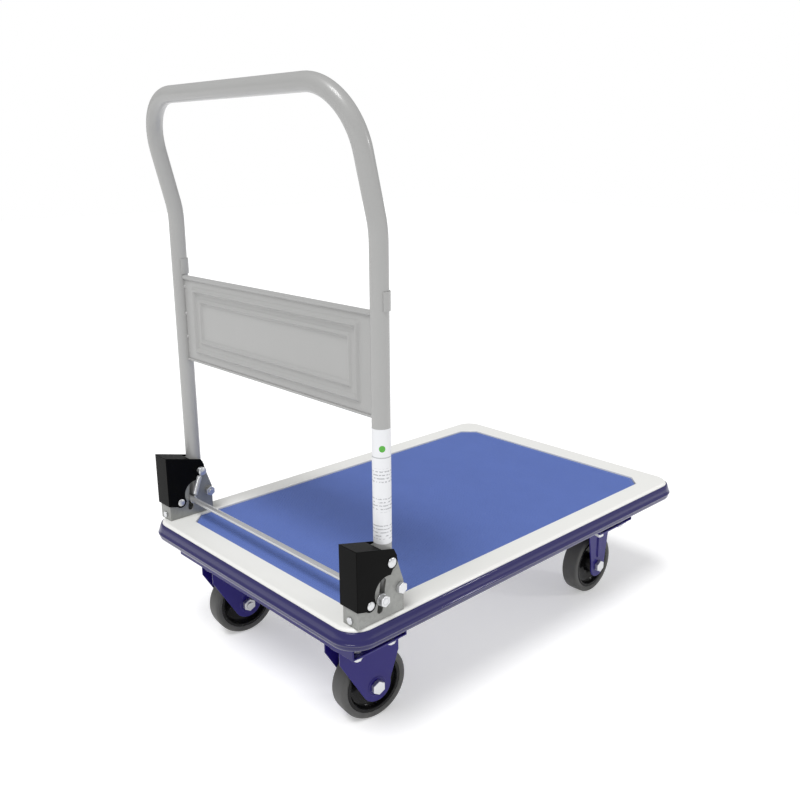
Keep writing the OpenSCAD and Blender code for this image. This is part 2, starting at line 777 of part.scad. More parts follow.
module ball_ring(side) {
    color(zinc) at_swivel(side) for (i = [0:ball_count - 1]) rotate([0, 0, i * 360 / ball_count])
        translate([ball_circle_r, 0, crown_z + seat_gap + ball_d / 2]) sphere(d = ball_d);
}

// One leg of a swivel fork, drawn in Y and Z from the kingpin and the floor
module swivel_leg_outline() {
    end_r = fork_end_w / 2;
    rear = crown_r - 1;
    front = caster_trail + 35;
    shoulder_z = crown_z - 17;
    translate([caster_trail, wheel_r]) circle(end_r);
    polygon([[-rear, crown_z], [-rear, shoulder_z], [-rear / 2, shoulder_z - 26],
        [caster_trail - end_r * cos(25), wheel_r - end_r * sin(25)],
        [caster_trail + end_r * cos(15), wheel_r + end_r * sin(-15)],
        [caster_trail + end_r * cos(10), wheel_r + end_r * sin(10)],
        [front, shoulder_z - 8], [front, crown_z]]);
}

module swivel_fork(side) {
    leg_out = swivel_gap + fork_t;
    front = caster_trail + 35;
    shield_t = 2;
    shield_h = 4;
    color(caster_violet) at_swivel(side) difference() {
        union() {
            translate([0, 0, crown_z - fork_t]) cylinder(r = crown_r, h = fork_t);
            translate([-leg_out, 0, crown_z - fork_t]) cube([2 * leg_out, front, fork_t]);
            for (x = [-leg_out, swivel_gap]) yz_plate(x, x + fork_t) swivel_leg_outline();
            translate([0, 0, crown_z - fork_t]) difference() {
                cylinder(r = shield_r + shield_t, h = fork_t + shield_h);
                translate([0, 0, fork_t]) cylinder(r = shield_r, h = shield_h + cut);
            }
        }
        translate([0, 0, crown_z - fork_t - cut]) cylinder(r = kingpin_r + pin_fit, h = fork_t + 2 * cut);
        translate([0, caster_trail, wheel_r])
            rod_x(axle_r + pin_fit, -leg_out - cut, leg_out + cut);
    }
}

// One leg of a fixed fork, drawn in Y and Z from the axle and the floor
module fixed_leg_outline() {
    end_r = fixed_end_w / 2;
    top_half = 30;
    translate([0, wheel_r]) circle(end_r);
    polygon([[-top_half, plate_z + plate_t / 2], [-end_r, wheel_r + 8], [-end_r, wheel_r],
        [end_r, wheel_r], [end_r, wheel_r + 8], [top_half, plate_z + plate_t / 2]]);
}

module fixed_fork(side) {
    leg_out = fixed_gap + fork_t;
    rib_w = 8;
    rib_t = 2;
    rib_low = wheel_r + 16;
    color(caster_violet) translate([side * rear_x, front_y, 0]) difference() {
        union() {
            translate([0, 0, plate_z]) caster_plate();
            for (x = [-leg_out, fixed_gap]) yz_plate(x, x + fork_t) fixed_leg_outline();
            for (end = [0, 180]) rotate([0, 0, end])
                translate([leg_out - seat_gap, -rib_w / 2, rib_low])
                    cube([rib_t + seat_gap, rib_w, plate_z - rib_low]);
        }
        translate([0, 0, wheel_r]) rod_x(axle_r + pin_fit, -leg_out - cut, leg_out + cut);
    }
}

// An axle bolt: its head is outboard at +X, its plain shank crosses both fork legs
module axle_bolt(leg_out) {
    head_h = 6;
    thread_out = 9;
    color(zinc) translate([0, 0, wheel_r]) {
        rod_x(axle_r, -leg_out - thread_out, leg_out + seat_gap);
        hex_x(axle_af, leg_out + seat_gap, leg_out + seat_gap + head_h);
    }
}

module axle_nut(leg_out) {
    nut_h = 7;
    color(zinc) translate([0, 0, wheel_r]) difference() {
        hex_x(axle_af, -leg_out - seat_gap - nut_h, -leg_out - seat_gap);
        rod_x(axle_r + pin_fit, -leg_out - nut_h - cut, -leg_out + cut);
    }
}

// Turns a piece drawn for the right caster so that its head is outboard on the left one too
module outboard(side) {
    rotate([0, 0, side > 0 ? 0 : 180]) children();
}

module at_rear_axle(side) {
    at_swivel(side) translate([0, caster_trail, 0]) outboard(side) children();
}

module at_front_axle(side) {
    translate([side * rear_x, front_y, 0]) outboard(side) children();
}

module caster_bolts() {
    head_t = 5.3;
    shank = chassis_sheet + plate_t + hex_h + 3;
    color(zinc) for (y = [kingpin_y, front_y]) at_caster_bolts(y) {
        translate([0, 0, caster_h + chassis_sheet + seat_gap]) cylinder(d = hex_af / cos(30), h = head_t, $fn = 6);
        translate([0, 0, caster_h + chassis_sheet + seat_gap - shank]) cylinder(r = bolt_r, h = shank);
    }
}

module caster_nuts() {
    color(zinc) for (y = [kingpin_y, front_y]) at_caster_bolts(y)
        translate([0, 0, plate_z - seat_gap - hex_h]) difference() {
            cylinder(d = hex_af / cos(30), h = hex_h, $fn = 6);
            translate([0, 0, -cut]) cylinder(r = bolt_r + pin_fit, h = hex_h + 2 * cut);
        }
}

// ---------- wheels, drawn round the X axis at the wheel's middle ----------

module turned_x() {
    translate([0, 0, wheel_r]) rotate([0, 90, 0]) rotate_extrude() children();
}

module tyre() {
    shoulder_r = 4;
    side_w = tread_w / 2 - shoulder_r;
    color(tyre_grey) turned_x() {
        translate([rim_r, -side_w]) square([tyre_t, 2 * side_w]);
        translate([rim_r, -tread_w / 2]) square([tyre_t - shoulder_r, tread_w]);
        for (y = [-side_w, side_w]) translate([wheel_r - shoulder_r, y]) circle(shoulder_r);
    }
}

module hub() {
    rim_w = tread_w - 2;
    rim_t = 5;
    web_t = 9;
    boss_r = 14;
    color(hub_black) turned_x() {
        translate([rim_r - rim_t - seat_gap, -rim_w / 2]) square([rim_t, rim_w]);
        translate([boss_r - 2, -web_t / 2]) square([rim_r - rim_t - boss_r + 3, web_t]);
        translate([bush_r + pin_fit, -hub_w / 2]) square([boss_r - bush_r, hub_w]);
    }
}

module bush(half) {
    color(zinc) turned_x() translate([axle_r + pin_fit, -half]) square([bush_r - axle_r - pin_fit, 2 * half]);
}

// ---------- the cart ----------

deck_pan();
deck_mat();
bumper();
cross_channel(kingpin_y);  // cross_channel_rear
cross_channel(front_y);  // cross_channel_front
deck_stiffeners();
foot_tabs();
bracket(-1);  // bracket_left
bracket(1);  // bracket_right
cover(-1);  // cover_left
cover(1);  // cover_right
pivot_pins();
stop_bolts();
stop_nuts();
cover_rivets();
bracket_bolts();
bracket_nuts();
foot_screws();
handle_tube();
back_panel();
leg_clips();
leg_label();
release_rod();
rod_washers();
rod_nuts();
return_spring(-1);  // return_spring_left
return_spring(1);  // return_spring_right
swivel_plate(-1);  // swivel_plate_left
swivel_plate(1);  // swivel_plate_right
kingpin(-1);  // kingpin_left
kingpin(1);  // kingpin_right
ball_ring(-1);  // ball_ring_left
ball_ring(1);  // ball_ring_right
swivel_fork(-1);  // swivel_fork_left
swivel_fork(1);  // swivel_fork_right
at_rear_axle(-1) axle_bolt(swivel_gap + fork_t);  // rear_axle_bolt_left
at_rear_axle(1) axle_bolt(swivel_gap + fork_t);  // rear_axle_bolt_right
at_rear_axle(-1) axle_nut(swivel_gap + fork_t);  // rear_axle_nut_left
at_rear_axle(1) axle_nut(swivel_gap + fork_t);  // rear_axle_nut_right
fixed_fork(-1);  // fixed_fork_left
fixed_fork(1);  // fixed_fork_right
for (side = [-1, 1]) at_front_axle(side) axle_bolt(fixed_gap + fork_t);  // front_axle_bolts
for (side = [-1, 1]) at_front_axle(side) axle_nut(fixed_gap + fork_t);  // front_axle_nuts
caster_bolts();
caster_nuts();
at_rear_axle(-1) tyre();  // rear_tyre_left
at_rear_axle(1) tyre();  // rear_tyre_right
at_rear_axle(-1) hub();  // rear_hub_left
at_rear_axle(1) hub();  // rear_hub_right
at_rear_axle(-1) bush(swivel_gap - 2 * seat_gap);  // rear_bush_left
at_rear_axle(1) bush(swivel_gap - 2 * seat_gap);  // rear_bush_right
at_front_axle(-1) tyre();  // front_tyre_left
at_front_axle(1) tyre();  // front_tyre_right
at_front_axle(-1) hub();  // front_hub_left
at_front_axle(1) hub();  // front_hub_right
at_front_axle(-1) bush(fixed_gap - 2 * seat_gap);  // front_bush_left
at_front_axle(1) bush(fixed_gap - 2 * seat_gap);  // front_bush_right
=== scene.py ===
"""Folding platform cart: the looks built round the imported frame.

Everything is in metres in the frame's own axes: X across the cart, +Y forward, +Z up, with the
handle at the -Y end. Places and sizes come from the frame's nodes and joints.
"""

import json
import math
from functools import cache

import bmesh
import bpy
from bpy.props import FloatProperty, FloatVectorProperty, IntProperty, PointerProperty
from mathutils import Matrix, Quaternion, Vector


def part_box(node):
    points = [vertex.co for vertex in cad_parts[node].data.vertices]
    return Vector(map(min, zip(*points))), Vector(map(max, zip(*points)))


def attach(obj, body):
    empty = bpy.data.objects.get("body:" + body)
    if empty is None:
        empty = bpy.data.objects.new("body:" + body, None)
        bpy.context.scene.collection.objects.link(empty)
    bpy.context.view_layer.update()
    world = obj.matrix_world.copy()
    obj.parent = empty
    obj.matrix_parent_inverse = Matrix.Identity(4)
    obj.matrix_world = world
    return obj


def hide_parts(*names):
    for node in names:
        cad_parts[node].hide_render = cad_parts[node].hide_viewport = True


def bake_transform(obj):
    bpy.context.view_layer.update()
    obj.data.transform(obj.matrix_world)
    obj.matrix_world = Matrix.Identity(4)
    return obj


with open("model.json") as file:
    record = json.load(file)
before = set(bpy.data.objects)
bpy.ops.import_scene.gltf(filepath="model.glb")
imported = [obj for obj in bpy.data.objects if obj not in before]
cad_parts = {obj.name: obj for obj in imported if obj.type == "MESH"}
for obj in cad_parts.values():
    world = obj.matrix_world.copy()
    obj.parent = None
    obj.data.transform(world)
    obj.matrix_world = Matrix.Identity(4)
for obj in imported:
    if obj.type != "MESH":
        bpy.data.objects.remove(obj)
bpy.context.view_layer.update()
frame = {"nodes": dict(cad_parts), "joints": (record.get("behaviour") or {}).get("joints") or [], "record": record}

bl_info = {
    "name": "Folding platform cart",
    "version": (1, 0, 0),
    "blender": (4, 5, 0),
    "location": "View3D > Sidebar > Cart",
    "description": "Builds a folding platform cart round its packed frame",
    "category": "Add Mesh",
}

NODES = frame["nodes"]
BODY_OF = {n: b for b, members in frame["record"]["behaviour"]["bodies"].items() for n in members}
JOINTS = {j["name"]: j for j in frame["joints"]}
SIDES = (("left", -1), ("right", 1))
MM = 0.001


def linear(red, green, blue):
    """A colour given in screen values from 0 to 255, as the linear colour that shaders take."""
    def channel(value):
        value /= 255
        return value / 12.92 if value <= 0.04045 else ((value + 0.055) / 1.055) ** 2.4
    return tuple(channel(v) for v in (red, green, blue))


def colour_property(name, description, screen):
    return FloatVectorProperty(name=name, description=description, subtype="COLOR", size=3,
                               default=linear(*screen), min=0, max=1)


def length_property(name, description, millimetres):
    return FloatProperty(name=name, description=description, default=millimetres * MM, min=0,
                         unit="LENGTH", precision=5)


# ---------------------------------------------------------------- settings

class DeckSettings(bpy.types.PropertyGroup):
    border: colour_property("Border", "Enamel of the deck pan", (232, 232, 229))
    mat: colour_property("Mat", "Rubber of the mat", (92, 114, 179))
    bumper: colour_property("Bumper", "Vinyl of the bumper", (42, 39, 90))
    recess_edge: length_property("Recess edge", "Radius of the pressed edge round the mat", 1.3)
    rib_pitch: length_property("Rib pitch", "Distance from one mat rib to the next", 3.2)
    rib_height: length_property("Rib height", "Height of the mat's ribs", 0.5)
    rib_share: FloatProperty(name="Rib share", description="A rib's width as a share of the pitch",
                             default=0.62, min=0.1, max=1)
    mat_margin: length_property("Mat margin", "Plain edge left round the ribs", 4)
    bumper_bead: length_property("Bumper bead", "Radius of the fine bead along the bumper", 1.9)
    hook_depth: length_property("Hook depth", "How far the bumper's hook reaches in", 9)
    hook: length_property("Hook", "Thickness of the bumper's hook", 2.4)
    corner: length_property("Corner", "Radius of the deck pan's corners", 30)


class HandleSettings(bpy.types.PropertyGroup):
    paint: colour_property("Paint", "Enamel of the tube and the panel", (166, 166, 165))
    tube: length_property("Tube", "Outside diameter of the tube", 22)
    bend: length_property("Bend", "Radius of the bend where the legs lean back", 131)
    bend_height: length_property("Bend height", "Height at which the legs begin to bend", 629)
    lean: FloatProperty(name="Lean", description="Angle that the handle's top leans back",
                        subtype="ANGLE", default=math.radians(13.6))
    upper_leg: length_property("Upper leg", "Straight length from the bend to the corner", 68)
    corner: length_property("Corner", "Radius of the two upper corners", 75)
    sheet: length_property("Panel sheet", "Thickness of the panel's sheet", 1.2)
    panel_bead: length_property("Panel bead", "Radius of the bead along the panel's top", 3.5)
    hem: length_property("Hem", "Radius of the rolls along the panel's foot", 1.7)
    outer_ridge: length_property("Outer ridge", "Height of the outer pressed frame", 4.0)
    inner_ridge: length_property("Inner ridge", "Height of the inner pressed frame", 3.2)
    label: colour_property("Label", "Vinyl of the leg label", (229, 230, 233))
    badge: colour_property("Badge", "Round spot on the leg label", (84, 170, 60))
    badge_radius: length_property("Badge radius", "Radius of the round spot", 4.2)
    badge_turn: FloatProperty(name="Badge turn", description="The spot's turn round the leg, "
                              "from straight back", subtype="ANGLE", default=math.radians(46.5))


class MechanismSettings(bpy.types.PropertyGroup):
    cover: colour_property("Cover", "Plastic of the bracket covers", (5, 5, 5))
    zinc: colour_property("Zinc", "Plated rod, bolts and springs", (214, 215, 217))
    galvanised: colour_property("Galvanised", "Sheet of the two brackets", (150, 151, 148))
    wire: length_property("Spring wire", "Diameter of the return springs' wire", 1.4)
    spring: length_property("Spring", "Outside diameter of the return springs", 8)


class CasterSettings(bpy.types.PropertyGroup):
    paint: colour_property("Paint", "Enamel of forks, plates and chassis", (33, 23, 110))
    tyre: colour_property("Tyre", "Rubber of the tyres", (82, 82, 81))
    hub: colour_property("Hub", "Nylon of the wheel hubs", (15, 15, 16))
    tyre_depth: length_property("Tyre depth", "Radial thickness of the tyre", 9)
    boss: length_property("Boss", "Radius of the hub's boss", 14)
    shoulder: length_property("Shoulder", "Radius of the tyre's shoulders", 4.2)
    bolt: length_property("Bolt", "Diameter of the plate bolts", 8)
    bolt_head: length_property("Bolt head", "Height of the plate bolts' heads", 5.3)
    steps: IntProperty(name="Steps", description="Steps round a turned piece", default=96, min=24)


class StageSettings(bpy.types.PropertyGroup):
    floor: colour_property("Floor", "Colour of the floor", (232, 232, 232))
    glow: FloatProperty(name="Glow", description="Light that the floor gives off itself",
                        default=0.35, min=0)
    sky: FloatProperty(name="Sky", description="Strength of the light from all round",
                      default=0.45, min=0)
    azimuth: FloatProperty(name="Azimuth", description="Camera's turn round the cart",
                           subtype="ANGLE", default=math.radians(46.49))
    pitch: FloatProperty(name="Pitch", description="How far the camera looks down",
                         subtype="ANGLE", default=math.radians(14.76))
    roll: FloatProperty(name="Roll", description="Camera's roll about its view",
                        subtype="ANGLE", default=math.radians(0.30))
    place: FloatVectorProperty(name="Place", description="Camera's place", size=3, unit="LENGTH",
                               subtype="TRANSLATION", default=(0.933, -0.9275, 0.728))
    lens: FloatProperty(name="Lens", description="Focal length in millimetres", default=39.5)


# ---------------------------------------------------------------- node helpers

def new_group(name, kind, inputs, outputs):
    """A node group with its named sockets, and its input and output nodes."""
    group = bpy.data.node_groups.new(name, kind)
    for label, socket, default in inputs:
        made = group.interface.new_socket(label, in_out="INPUT", socket_type="NodeSocket" + socket)
        if default is not None:
            made.default_value = default
    for label, socket in outputs:
        group.interface.new_socket(label, in_out="OUTPUT", socket_type="NodeSocket" + socket)
    return group, group.nodes.new("NodeGroupInput"), group.nodes.new("NodeGroupOutput")


def step(tree, kind, links=None, **settings):
    """A node of the tree with its settings, its inputs linked or set by name or number."""
    made = tree.nodes.new(kind)
    for key, value in settings.items():
        setattr(made, key, value)
    for key, value in (links or {}).items():
        if isinstance(value, bpy.types.NodeSocket):
            tree.links.new(value, made.inputs[key])
        else:
            made.inputs[key].default_value = value
    return made


def math_node(tree, operation, *values):
    return step(tree, "ShaderNodeMath", dict(enumerate(values)), operation=operation).outputs[0]


def noise(tree, vector, scale, detail=3.0):
    """A noise texture on the given vector."""
    return step(tree, "ShaderNodeTexNoise", {"Vector": vector, "Scale": scale, "Detail": detail,
                                             "Roughness": 0.55}).outputs["Fac"]


def remap(tree, value, low, high, to_low, to_high):
    """The value with its stretch from low to high laid on another stretch."""
    return step(tree, "ShaderNodeMapRange", {
        "Value": value, "From Min": low, "From Max": high, "To Min": to_low,
        "To Max": to_high}).outputs["Result"]


def mixed_colour(tree, mask, first, second):
    """The first colour, with the second over it as far as the mask says."""
    made = step(tree, "ShaderNodeMix", {0: mask}, data_type="RGBA")
    for socket, colour in zip((s for s in made.inputs if s.type == "RGBA"), (first, second)):
        if isinstance(colour, bpy.types.NodeSocket):
            tree.links.new(colour, socket)
        else:
            socket.default_value = (*colour[:3], 1)
    return next(s for s in made.outputs if s.type == "RGBA")


# ---------------------------------------------------------------- shader groups

@cache
def skin_group():
    """Fine relief and slow mottling of a painted, plated or moulded skin."""
    group, start, end = new_group(
        "surface_skin", "ShaderNodeTree",
        [("Vector", "Vector", None), ("Color", "Color", (0.5, 0.5, 0.5, 1)),
         ("Mottle", "Float", 0.06), ("Roughness", "Float", 0.35), ("Spread", "Float", 0.08),
         ("Grain scale", "Float", 900.0), ("Grain", "Float", 0.2)],
        [("Color", "Color"), ("Roughness", "Float"), ("Normal", "Vector")])
    slow = noise(group, start.outputs["Vector"], 22.0)
    fine = noise(group, start.outputs["Vector"], start.outputs["Grain scale"], detail=2.0)
    shade = math_node(group, "MULTIPLY", math_node(group, "SUBTRACT", slow, 0.5),
                      start.outputs["Mottle"])
    shade = math_node(group, "ADD", math_node(group, "MULTIPLY", shade, 2.0), 1.0)
    tint = step(group, "ShaderNodeVectorMath", {0: start.outputs["Color"], "Scale": shade},
                operation="SCALE")
    group.links.new(tint.outputs[0], end.inputs["Color"])
    gloss = math_node(group, "MULTIPLY", math_node(group, "SUBTRACT", fine, 0.5),
                      start.outputs["Spread"])
    gloss = math_node(group, "ADD", math_node(group, "MULTIPLY", gloss, 2.0),
                      start.outputs["Roughness"])
    group.links.new(gloss, end.inputs["Roughness"])
    bump = step(group, "ShaderNodeBump", {"Strength": start.outputs["Grain"], "Height": fine,
                                          "Distance": 0.3 * MM})
    group.links.new(bump.outputs["Normal"], end.inputs["Normal"])
    return group


@cache
def grime_group():
    """Dust that gathers towards the floor and in patches."""
    group, start, end = new_group(
        "floor_dust", "ShaderNodeTree",
        [("Vector", "Vector", None), ("Color", "Color", (0.5, 0.5, 0.5, 1)),
         ("Dust", "Color", (*linear(150, 146, 138), 1)),
         ("Top", "Float", 0.12), ("Amount", "Float", 0.25)],
        [("Color", "Color"), ("Mask", "Float")])
    split = step(group, "ShaderNodeSeparateXYZ", {0: start.outputs["Vector"]})
    height = remap(group, split.outputs["Z"], 0.0, start.outputs["Top"], 1.0, 0.0)
    cloud = noise(group, start.outputs["Vector"], 60.0, detail=5.0)
    patches = remap(group, cloud, 0.4, 0.7, 0.0, 1.0)
    mask = math_node(group, "MULTIPLY", math_node(group, "MULTIPLY", height, patches),
                     start.outputs["Amount"])
    group.links.new(mixed_colour(group, mask, start.outputs["Color"], start.outputs["Dust"]),
                    end.inputs["Color"])
    group.links.new(mask, end.inputs["Mask"])
    return group


def placed_group(tree, group, **values):
    """A shader group placed in a material, with its own values."""
    given = {key.replace("_", " ").capitalize(): value for key, value in values.items()}
    return step(tree, "ShaderNodeGroup", given, node_tree=group)


# ---------------------------------------------------------------- materials

def surface(name, colour, roughness, grain, grain_scale, mottle=0.05, spread=0.06, metallic=0.0,
            coat=0.0, coat_roughness=0.1, specular=0.5, dust=0.0, dust_top=0.14, pattern=None):
    """One material: its pattern, dust towards the floor, the skin and the Principled shader."""
    material = bpy.data.materials.new(name)
    material.use_nodes = True
    tree = material.node_tree
    shader = next(n for n in tree.nodes if n.type == "BSDF_PRINCIPLED")
    place = tree.nodes.new("ShaderNodeTexCoord").outputs["Object"]
    colour = tuple(colour)
    base = pattern(tree, place, colour) if pattern else (*colour, 1)
    if dust:
        base = placed_group(tree, grime_group(), vector=place, color=base, top=dust_top,
                            amount=dust).outputs["Color"]
    skin = placed_group(tree, skin_group(), vector=place, color=base, mottle=mottle,
                        roughness=roughness, spread=spread, grain_scale=grain_scale, grain=grain)
    tree.links.new(skin.outputs["Color"], shader.inputs["Base Color"])
    tree.links.new(skin.outputs["Roughness"], shader.inputs["Roughness"])
    tree.links.new(skin.outputs["Normal"], shader.inputs["Normal"])
    shader.inputs["Metallic"].default_value = metallic
    shader.inputs["Coat Weight"].default_value = coat
    shader.inputs["Coat Roughness"].default_value = coat_roughness
    shader.inputs["Specular IOR Level"].default_value = specular
    material.diffuse_color = (*colour, 1)
    return material


@cache
def border_enamel():
    return surface("border_enamel", deck().border, roughness=0.38, grain=0.10, grain_scale=500.0,
                   mottle=0.02, coat=0.2)


@cache
def mat_rubber():
    return surface("mat_rubber", deck().mat, roughness=0.62, grain=0.35, grain_scale=1500.0,
                   specular=0.35)


@cache
def bumper_vinyl():
    return surface("bumper_vinyl", deck().bumper, roughness=0.32, grain=0.006, grain_scale=500.0,
                   mottle=0.08, specular=0.15, coat=0.5, coat_roughness=0.05)


@cache
def handle_enamel():
    return surface("handle_enamel", handle().paint, roughness=0.36, grain=0.10, grain_scale=420.0,
                   mottle=0.02, coat=0.25)


@cache
def label_vinyl():
    return surface("label_vinyl", handle().label, roughness=0.42, grain=0.05, grain_scale=900.0,
                   mottle=0.01, pattern=label_print)


@cache
def cover_plastic():
    return surface("cover_plastic", mechanism().cover, roughness=0.42, grain=0.20,
                   grain_scale=1300.0, mottle=0.10, specular=0.06)


@cache
def bright_zinc():
    return surface("bright_zinc", mechanism().zinc, roughness=0.30, grain=0.015, grain_scale=500.0,
                   metallic=0.75)


@cache
def galvanised_sheet():
    return surface("galvanised_sheet", mechanism().galvanised, roughness=0.46, grain=0.15,
                   grain_scale=600.0, mottle=0.14, spread=0.12, metallic=0.35, pattern=spangle)


@cache
def caster_enamel():
    return surface("caster_enamel", caster().paint, roughness=0.30, grain=0.04, grain_scale=260.0,
                   mottle=0.03, spread=0.03, coat=0.3, coat_roughness=0.08, specular=0.15,
                   dust=0.04, dust_top=0.07)


@cache
def tyre_rubber():
    return surface("tyre_rubber", caster().tyre, roughness=0.55, grain=0.30, grain_scale=1100.0,
                   mottle=0.06, specular=0.3, dust=0.14, dust_top=0.06)


@cache
def hub_nylon():
    return surface("hub_nylon", caster().hub, roughness=0.22, grain=0.08, grain_scale=800.0,
                   mottle=0.08, coat=0.08, specular=0.15, dust=0.03, dust_top=0.08)


def spangle(tree, place, colour):
    """Zinc spangle: patches of crystals in slightly different greys."""
    cells = step(tree, "ShaderNodeTexVoronoi", {"Vector": place, "Scale": 260.0})
    grey = step(tree, "ShaderNodeRGBToBW", {0: cells.outputs["Color"]})
    mask = remap(tree, grey.outputs[0], 0.2, 0.8, 0.0, 0.35)
    return mixed_colour(tree, mask, colour, tuple(c * 0.7 for c in colour))


def label_print(tree, place, colour):
    """Faint grey rules across the label and a round green spot, with nothing to read."""
    low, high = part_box("leg_label")
    head = high.z - 34 * MM
    z = step(tree, "ShaderNodeSeparateXYZ", {0: place}).outputs["Z"]

    def calc(operation, *values):
        return math_node(tree, operation, *values)

    def share(pitch):
        """How far a place is up its own stretch of that length, from 0 to 1."""
        return calc("FRACT", calc("MULTIPLY", z, 1 / pitch))

    rules = calc("LESS_THAN", share(4.2 * MM), 0.34)
    breaks = calc("GREATER_THAN", noise(tree, place, 330.0, detail=1.0), 0.47)
    blocks = calc("GREATER_THAN", share(34 * MM), 0.42)
    below_head = calc("LESS_THAN", z, head)
    mask = calc("MULTIPLY", calc("MULTIPLY", rules, breaks), calc("MULTIPLY", blocks, below_head))
    printed = mixed_colour(tree, calc("MULTIPLY", mask, 0.6), colour, linear(120, 122, 128))
    line = calc("LESS_THAN", calc("ABSOLUTE", calc("SUBTRACT", z, head)), 0.7 * MM)
    printed = mixed_colour(tree, calc("MULTIPLY", line, 0.8), printed, linear(170, 172, 174))
    turn = handle().badge_turn
    out = Vector((math.sin(turn), -math.cos(turn), 0)) * handle().tube / 2
    spot = Vector(((low.x + high.x) / 2, leg_axis_y(), high.z - 23 * MM)) + out
    away = step(tree, "ShaderNodeVectorMath", {0: place, 1: spot}, operation="DISTANCE")
    badge = calc("LESS_THAN", away.outputs["Value"], handle().badge_radius)
    return mixed_colour(tree, badge, printed, handle().badge)


# ---------------------------------------------------------------- places from the frame

def deck():
    return bpy.context.scene.cart_deck


def handle():
    return bpy.context.scene.cart_handle


def mechanism():
    return bpy.context.scene.cart_mechanism


def caster():
    return bpy.context.scene.cart_caster


def stage():
    return bpy.context.scene.cart_stage


def leg_axis_y():
    return JOINTS["handle_fold"]["pos_m"][1]


def pivot_height():
    return JOINTS["handle_fold"]["pos_m"][2]


def leg_axis_x():
    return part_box("handle_tube")[1].x - handle().tube / 2


# ---------------------------------------------------------------- mesh helpers

def new_object(name, data):
    """An object at the origin, in the scene."""
    made = bpy.data.objects.new(name, data)
    bpy.context.scene.collection.objects.link(made)
    return made


def painted(mesh, material):
    """The mesh with one material all over."""
    mesh.materials.clear()
    mesh.materials.append(material)
    return mesh


def put(name, mesh, material, node):
    """Makes a finished piece, which rides on its node's body and is shown in its stead."""
    piece = new_object(name, painted(mesh, material))
    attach(piece, BODY_OF[node])
    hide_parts(node)


def to_mesh(name, shape, smooth_under=math.radians(38)):
    """The bmesh as a mesh, shaded smooth except over edges sharper than the angle."""
    mesh = bpy.data.meshes.new(name)
    shape.to_mesh(mesh)
    shape.free()
    mesh.shade_smooth()
    mesh.set_sharp_from_angle(angle=smooth_under)
    return mesh


def evenly_lit(mesh):
    """The mesh with normals weighted by face size, so that flat faces stay flat beside bevels."""
    helper = new_object("helper", mesh)
    helper.modifiers.new("weighted", "WEIGHTED_NORMAL").keep_sharp = True
    return taken(helper)


def taken(helper):
    """The evaluated mesh of a helper object, which is then removed."""
    bpy.context.view_layer.update()
    evaluated = helper.evaluated_get(bpy.context.evaluated_depsgraph_get())
    mesh = bpy.data.meshes.new_from_object(evaluated)
    bpy.data.objects.remove(helper)
    return mesh


def merged(node):
    """A merged copy of a node's mesh with its flat faces whole again."""
    shape = bmesh.new()
    shape.from_mesh(NODES[node].data)
    bmesh.ops.remove_doubles(shape, verts=shape.verts, dist=0.002 * MM)
    bmesh.ops.dissolve_limit(shape, angle_limit=math.radians(0.5), verts=shape.verts,
                             edges=shape.edges)
    return shape


def bevelled(shape, width, segments=2, sharp=math.radians(40), chosen=None):
    """Rounds the shape's sharp edges, or the chosen ones among them."""
    edges = [e for e in shape.edges
             if len(e.link_faces) == 2 and e.calc_face_angle() > sharp
             and (not chosen or chosen(e))]
    if edges:
        bmesh.ops.bevel(shape, geom=edges, offset=width, offset_type="OFFSET", segments=segments,
                        profile=0.5, affect="EDGES", clamp_overlap=False)
    return shape


def soft_mesh(node, width, segments=2):
    """A node's own shape with its sharp edges rounded."""
    return evenly_lit(to_mesh(node + "_mesh", bevelled(merged(node), width, segments)))


def softened(node, width, material, segments=2):
    """The node's own shape with its sharp edges rounded, as the piece that stands for it."""
    put(node + "_made", soft_mesh(node, width, segments), material, node)


def loose_parts(node):
    """The lowest and highest corners of each separate part in a node."""
    shape = merged(node)
    waiting, found = set(shape.verts), []
    while waiting:
        reach = [waiting.pop()]
        part = []
        while reach:
            vertex = reach.pop()
            part.append(vertex.co.copy())
            for edge in vertex.link_edges:
                other = edge.other_vert(vertex)
                if other in waiting:
                    waiting.remove(other)
                    reach.append(other)
        found.append(tuple(Vector(pick(c[i] for c in part) for i in range(3))
                           for pick in (min, max)))
    shape.free()
    return sorted(found, key=lambda box: tuple(round(v, 4) for v in box[0]))


def close_strip(shape, here, there):
    """Makes the faces between two closed rings of as many points."""
    for i in range(len(here)):
        j = (i + 1) % len(here)
        shape.faces.new((here[i], here[j], there[j], there[i]))


def turned(profile, centre, axis, steps):
    """A closed profile of (along the axis, radius) points, turned about the axis at the centre."""
    shape = bmesh.new()
    rings = []
    for step in range(steps):
        angle = 2 * math.pi * step / steps
        rings.append([shape.verts.new((x, r * math.cos(angle), r * math.sin(angle)))
                      for x, r in profile])
    for here, there in zip(rings, rings[1:] + rings[:1]):
        close_strip(shape, here, there)
    turn = Vector((1, 0, 0)).rotation_difference(Vector(axis)).to_matrix().to_4x4()
    bmesh.ops.transform(shape, matrix=Matrix.Translation(centre) @ turn, verts=shape.verts)
    bmesh.ops.recalc_face_normals(shape, faces=shape.faces)
    return shape


def swept_rim(profile, half_w, half_l, corner, steps=14):
    """A closed profile of (outward, height) points swept round a rectangle with round corners."""
    shape = bmesh.new()
    rings = []
    for quarter, (sx, sy) in enumerate(((1, 1), (-1, 1), (-1, -1), (1, -1))):
        middle = Vector((sx * (half_w - corner), sy * (half_l - corner), 0))
        for step in range(steps + 1):
            angle = math.pi / 2 * (quarter + step / steps)
            out = Vector((math.cos(angle), math.sin(angle), 0))
            rings.append([shape.verts.new(middle + out * (corner + x) + Vector((0, 0, z)))
                          for x, z in profile])
    for here, there in zip(rings, rings[1:] + rings[:1]):
        close_strip(shape, here, there)
    bmesh.ops.recalc_face_normals(shape, faces=shape.faces)
    return shape


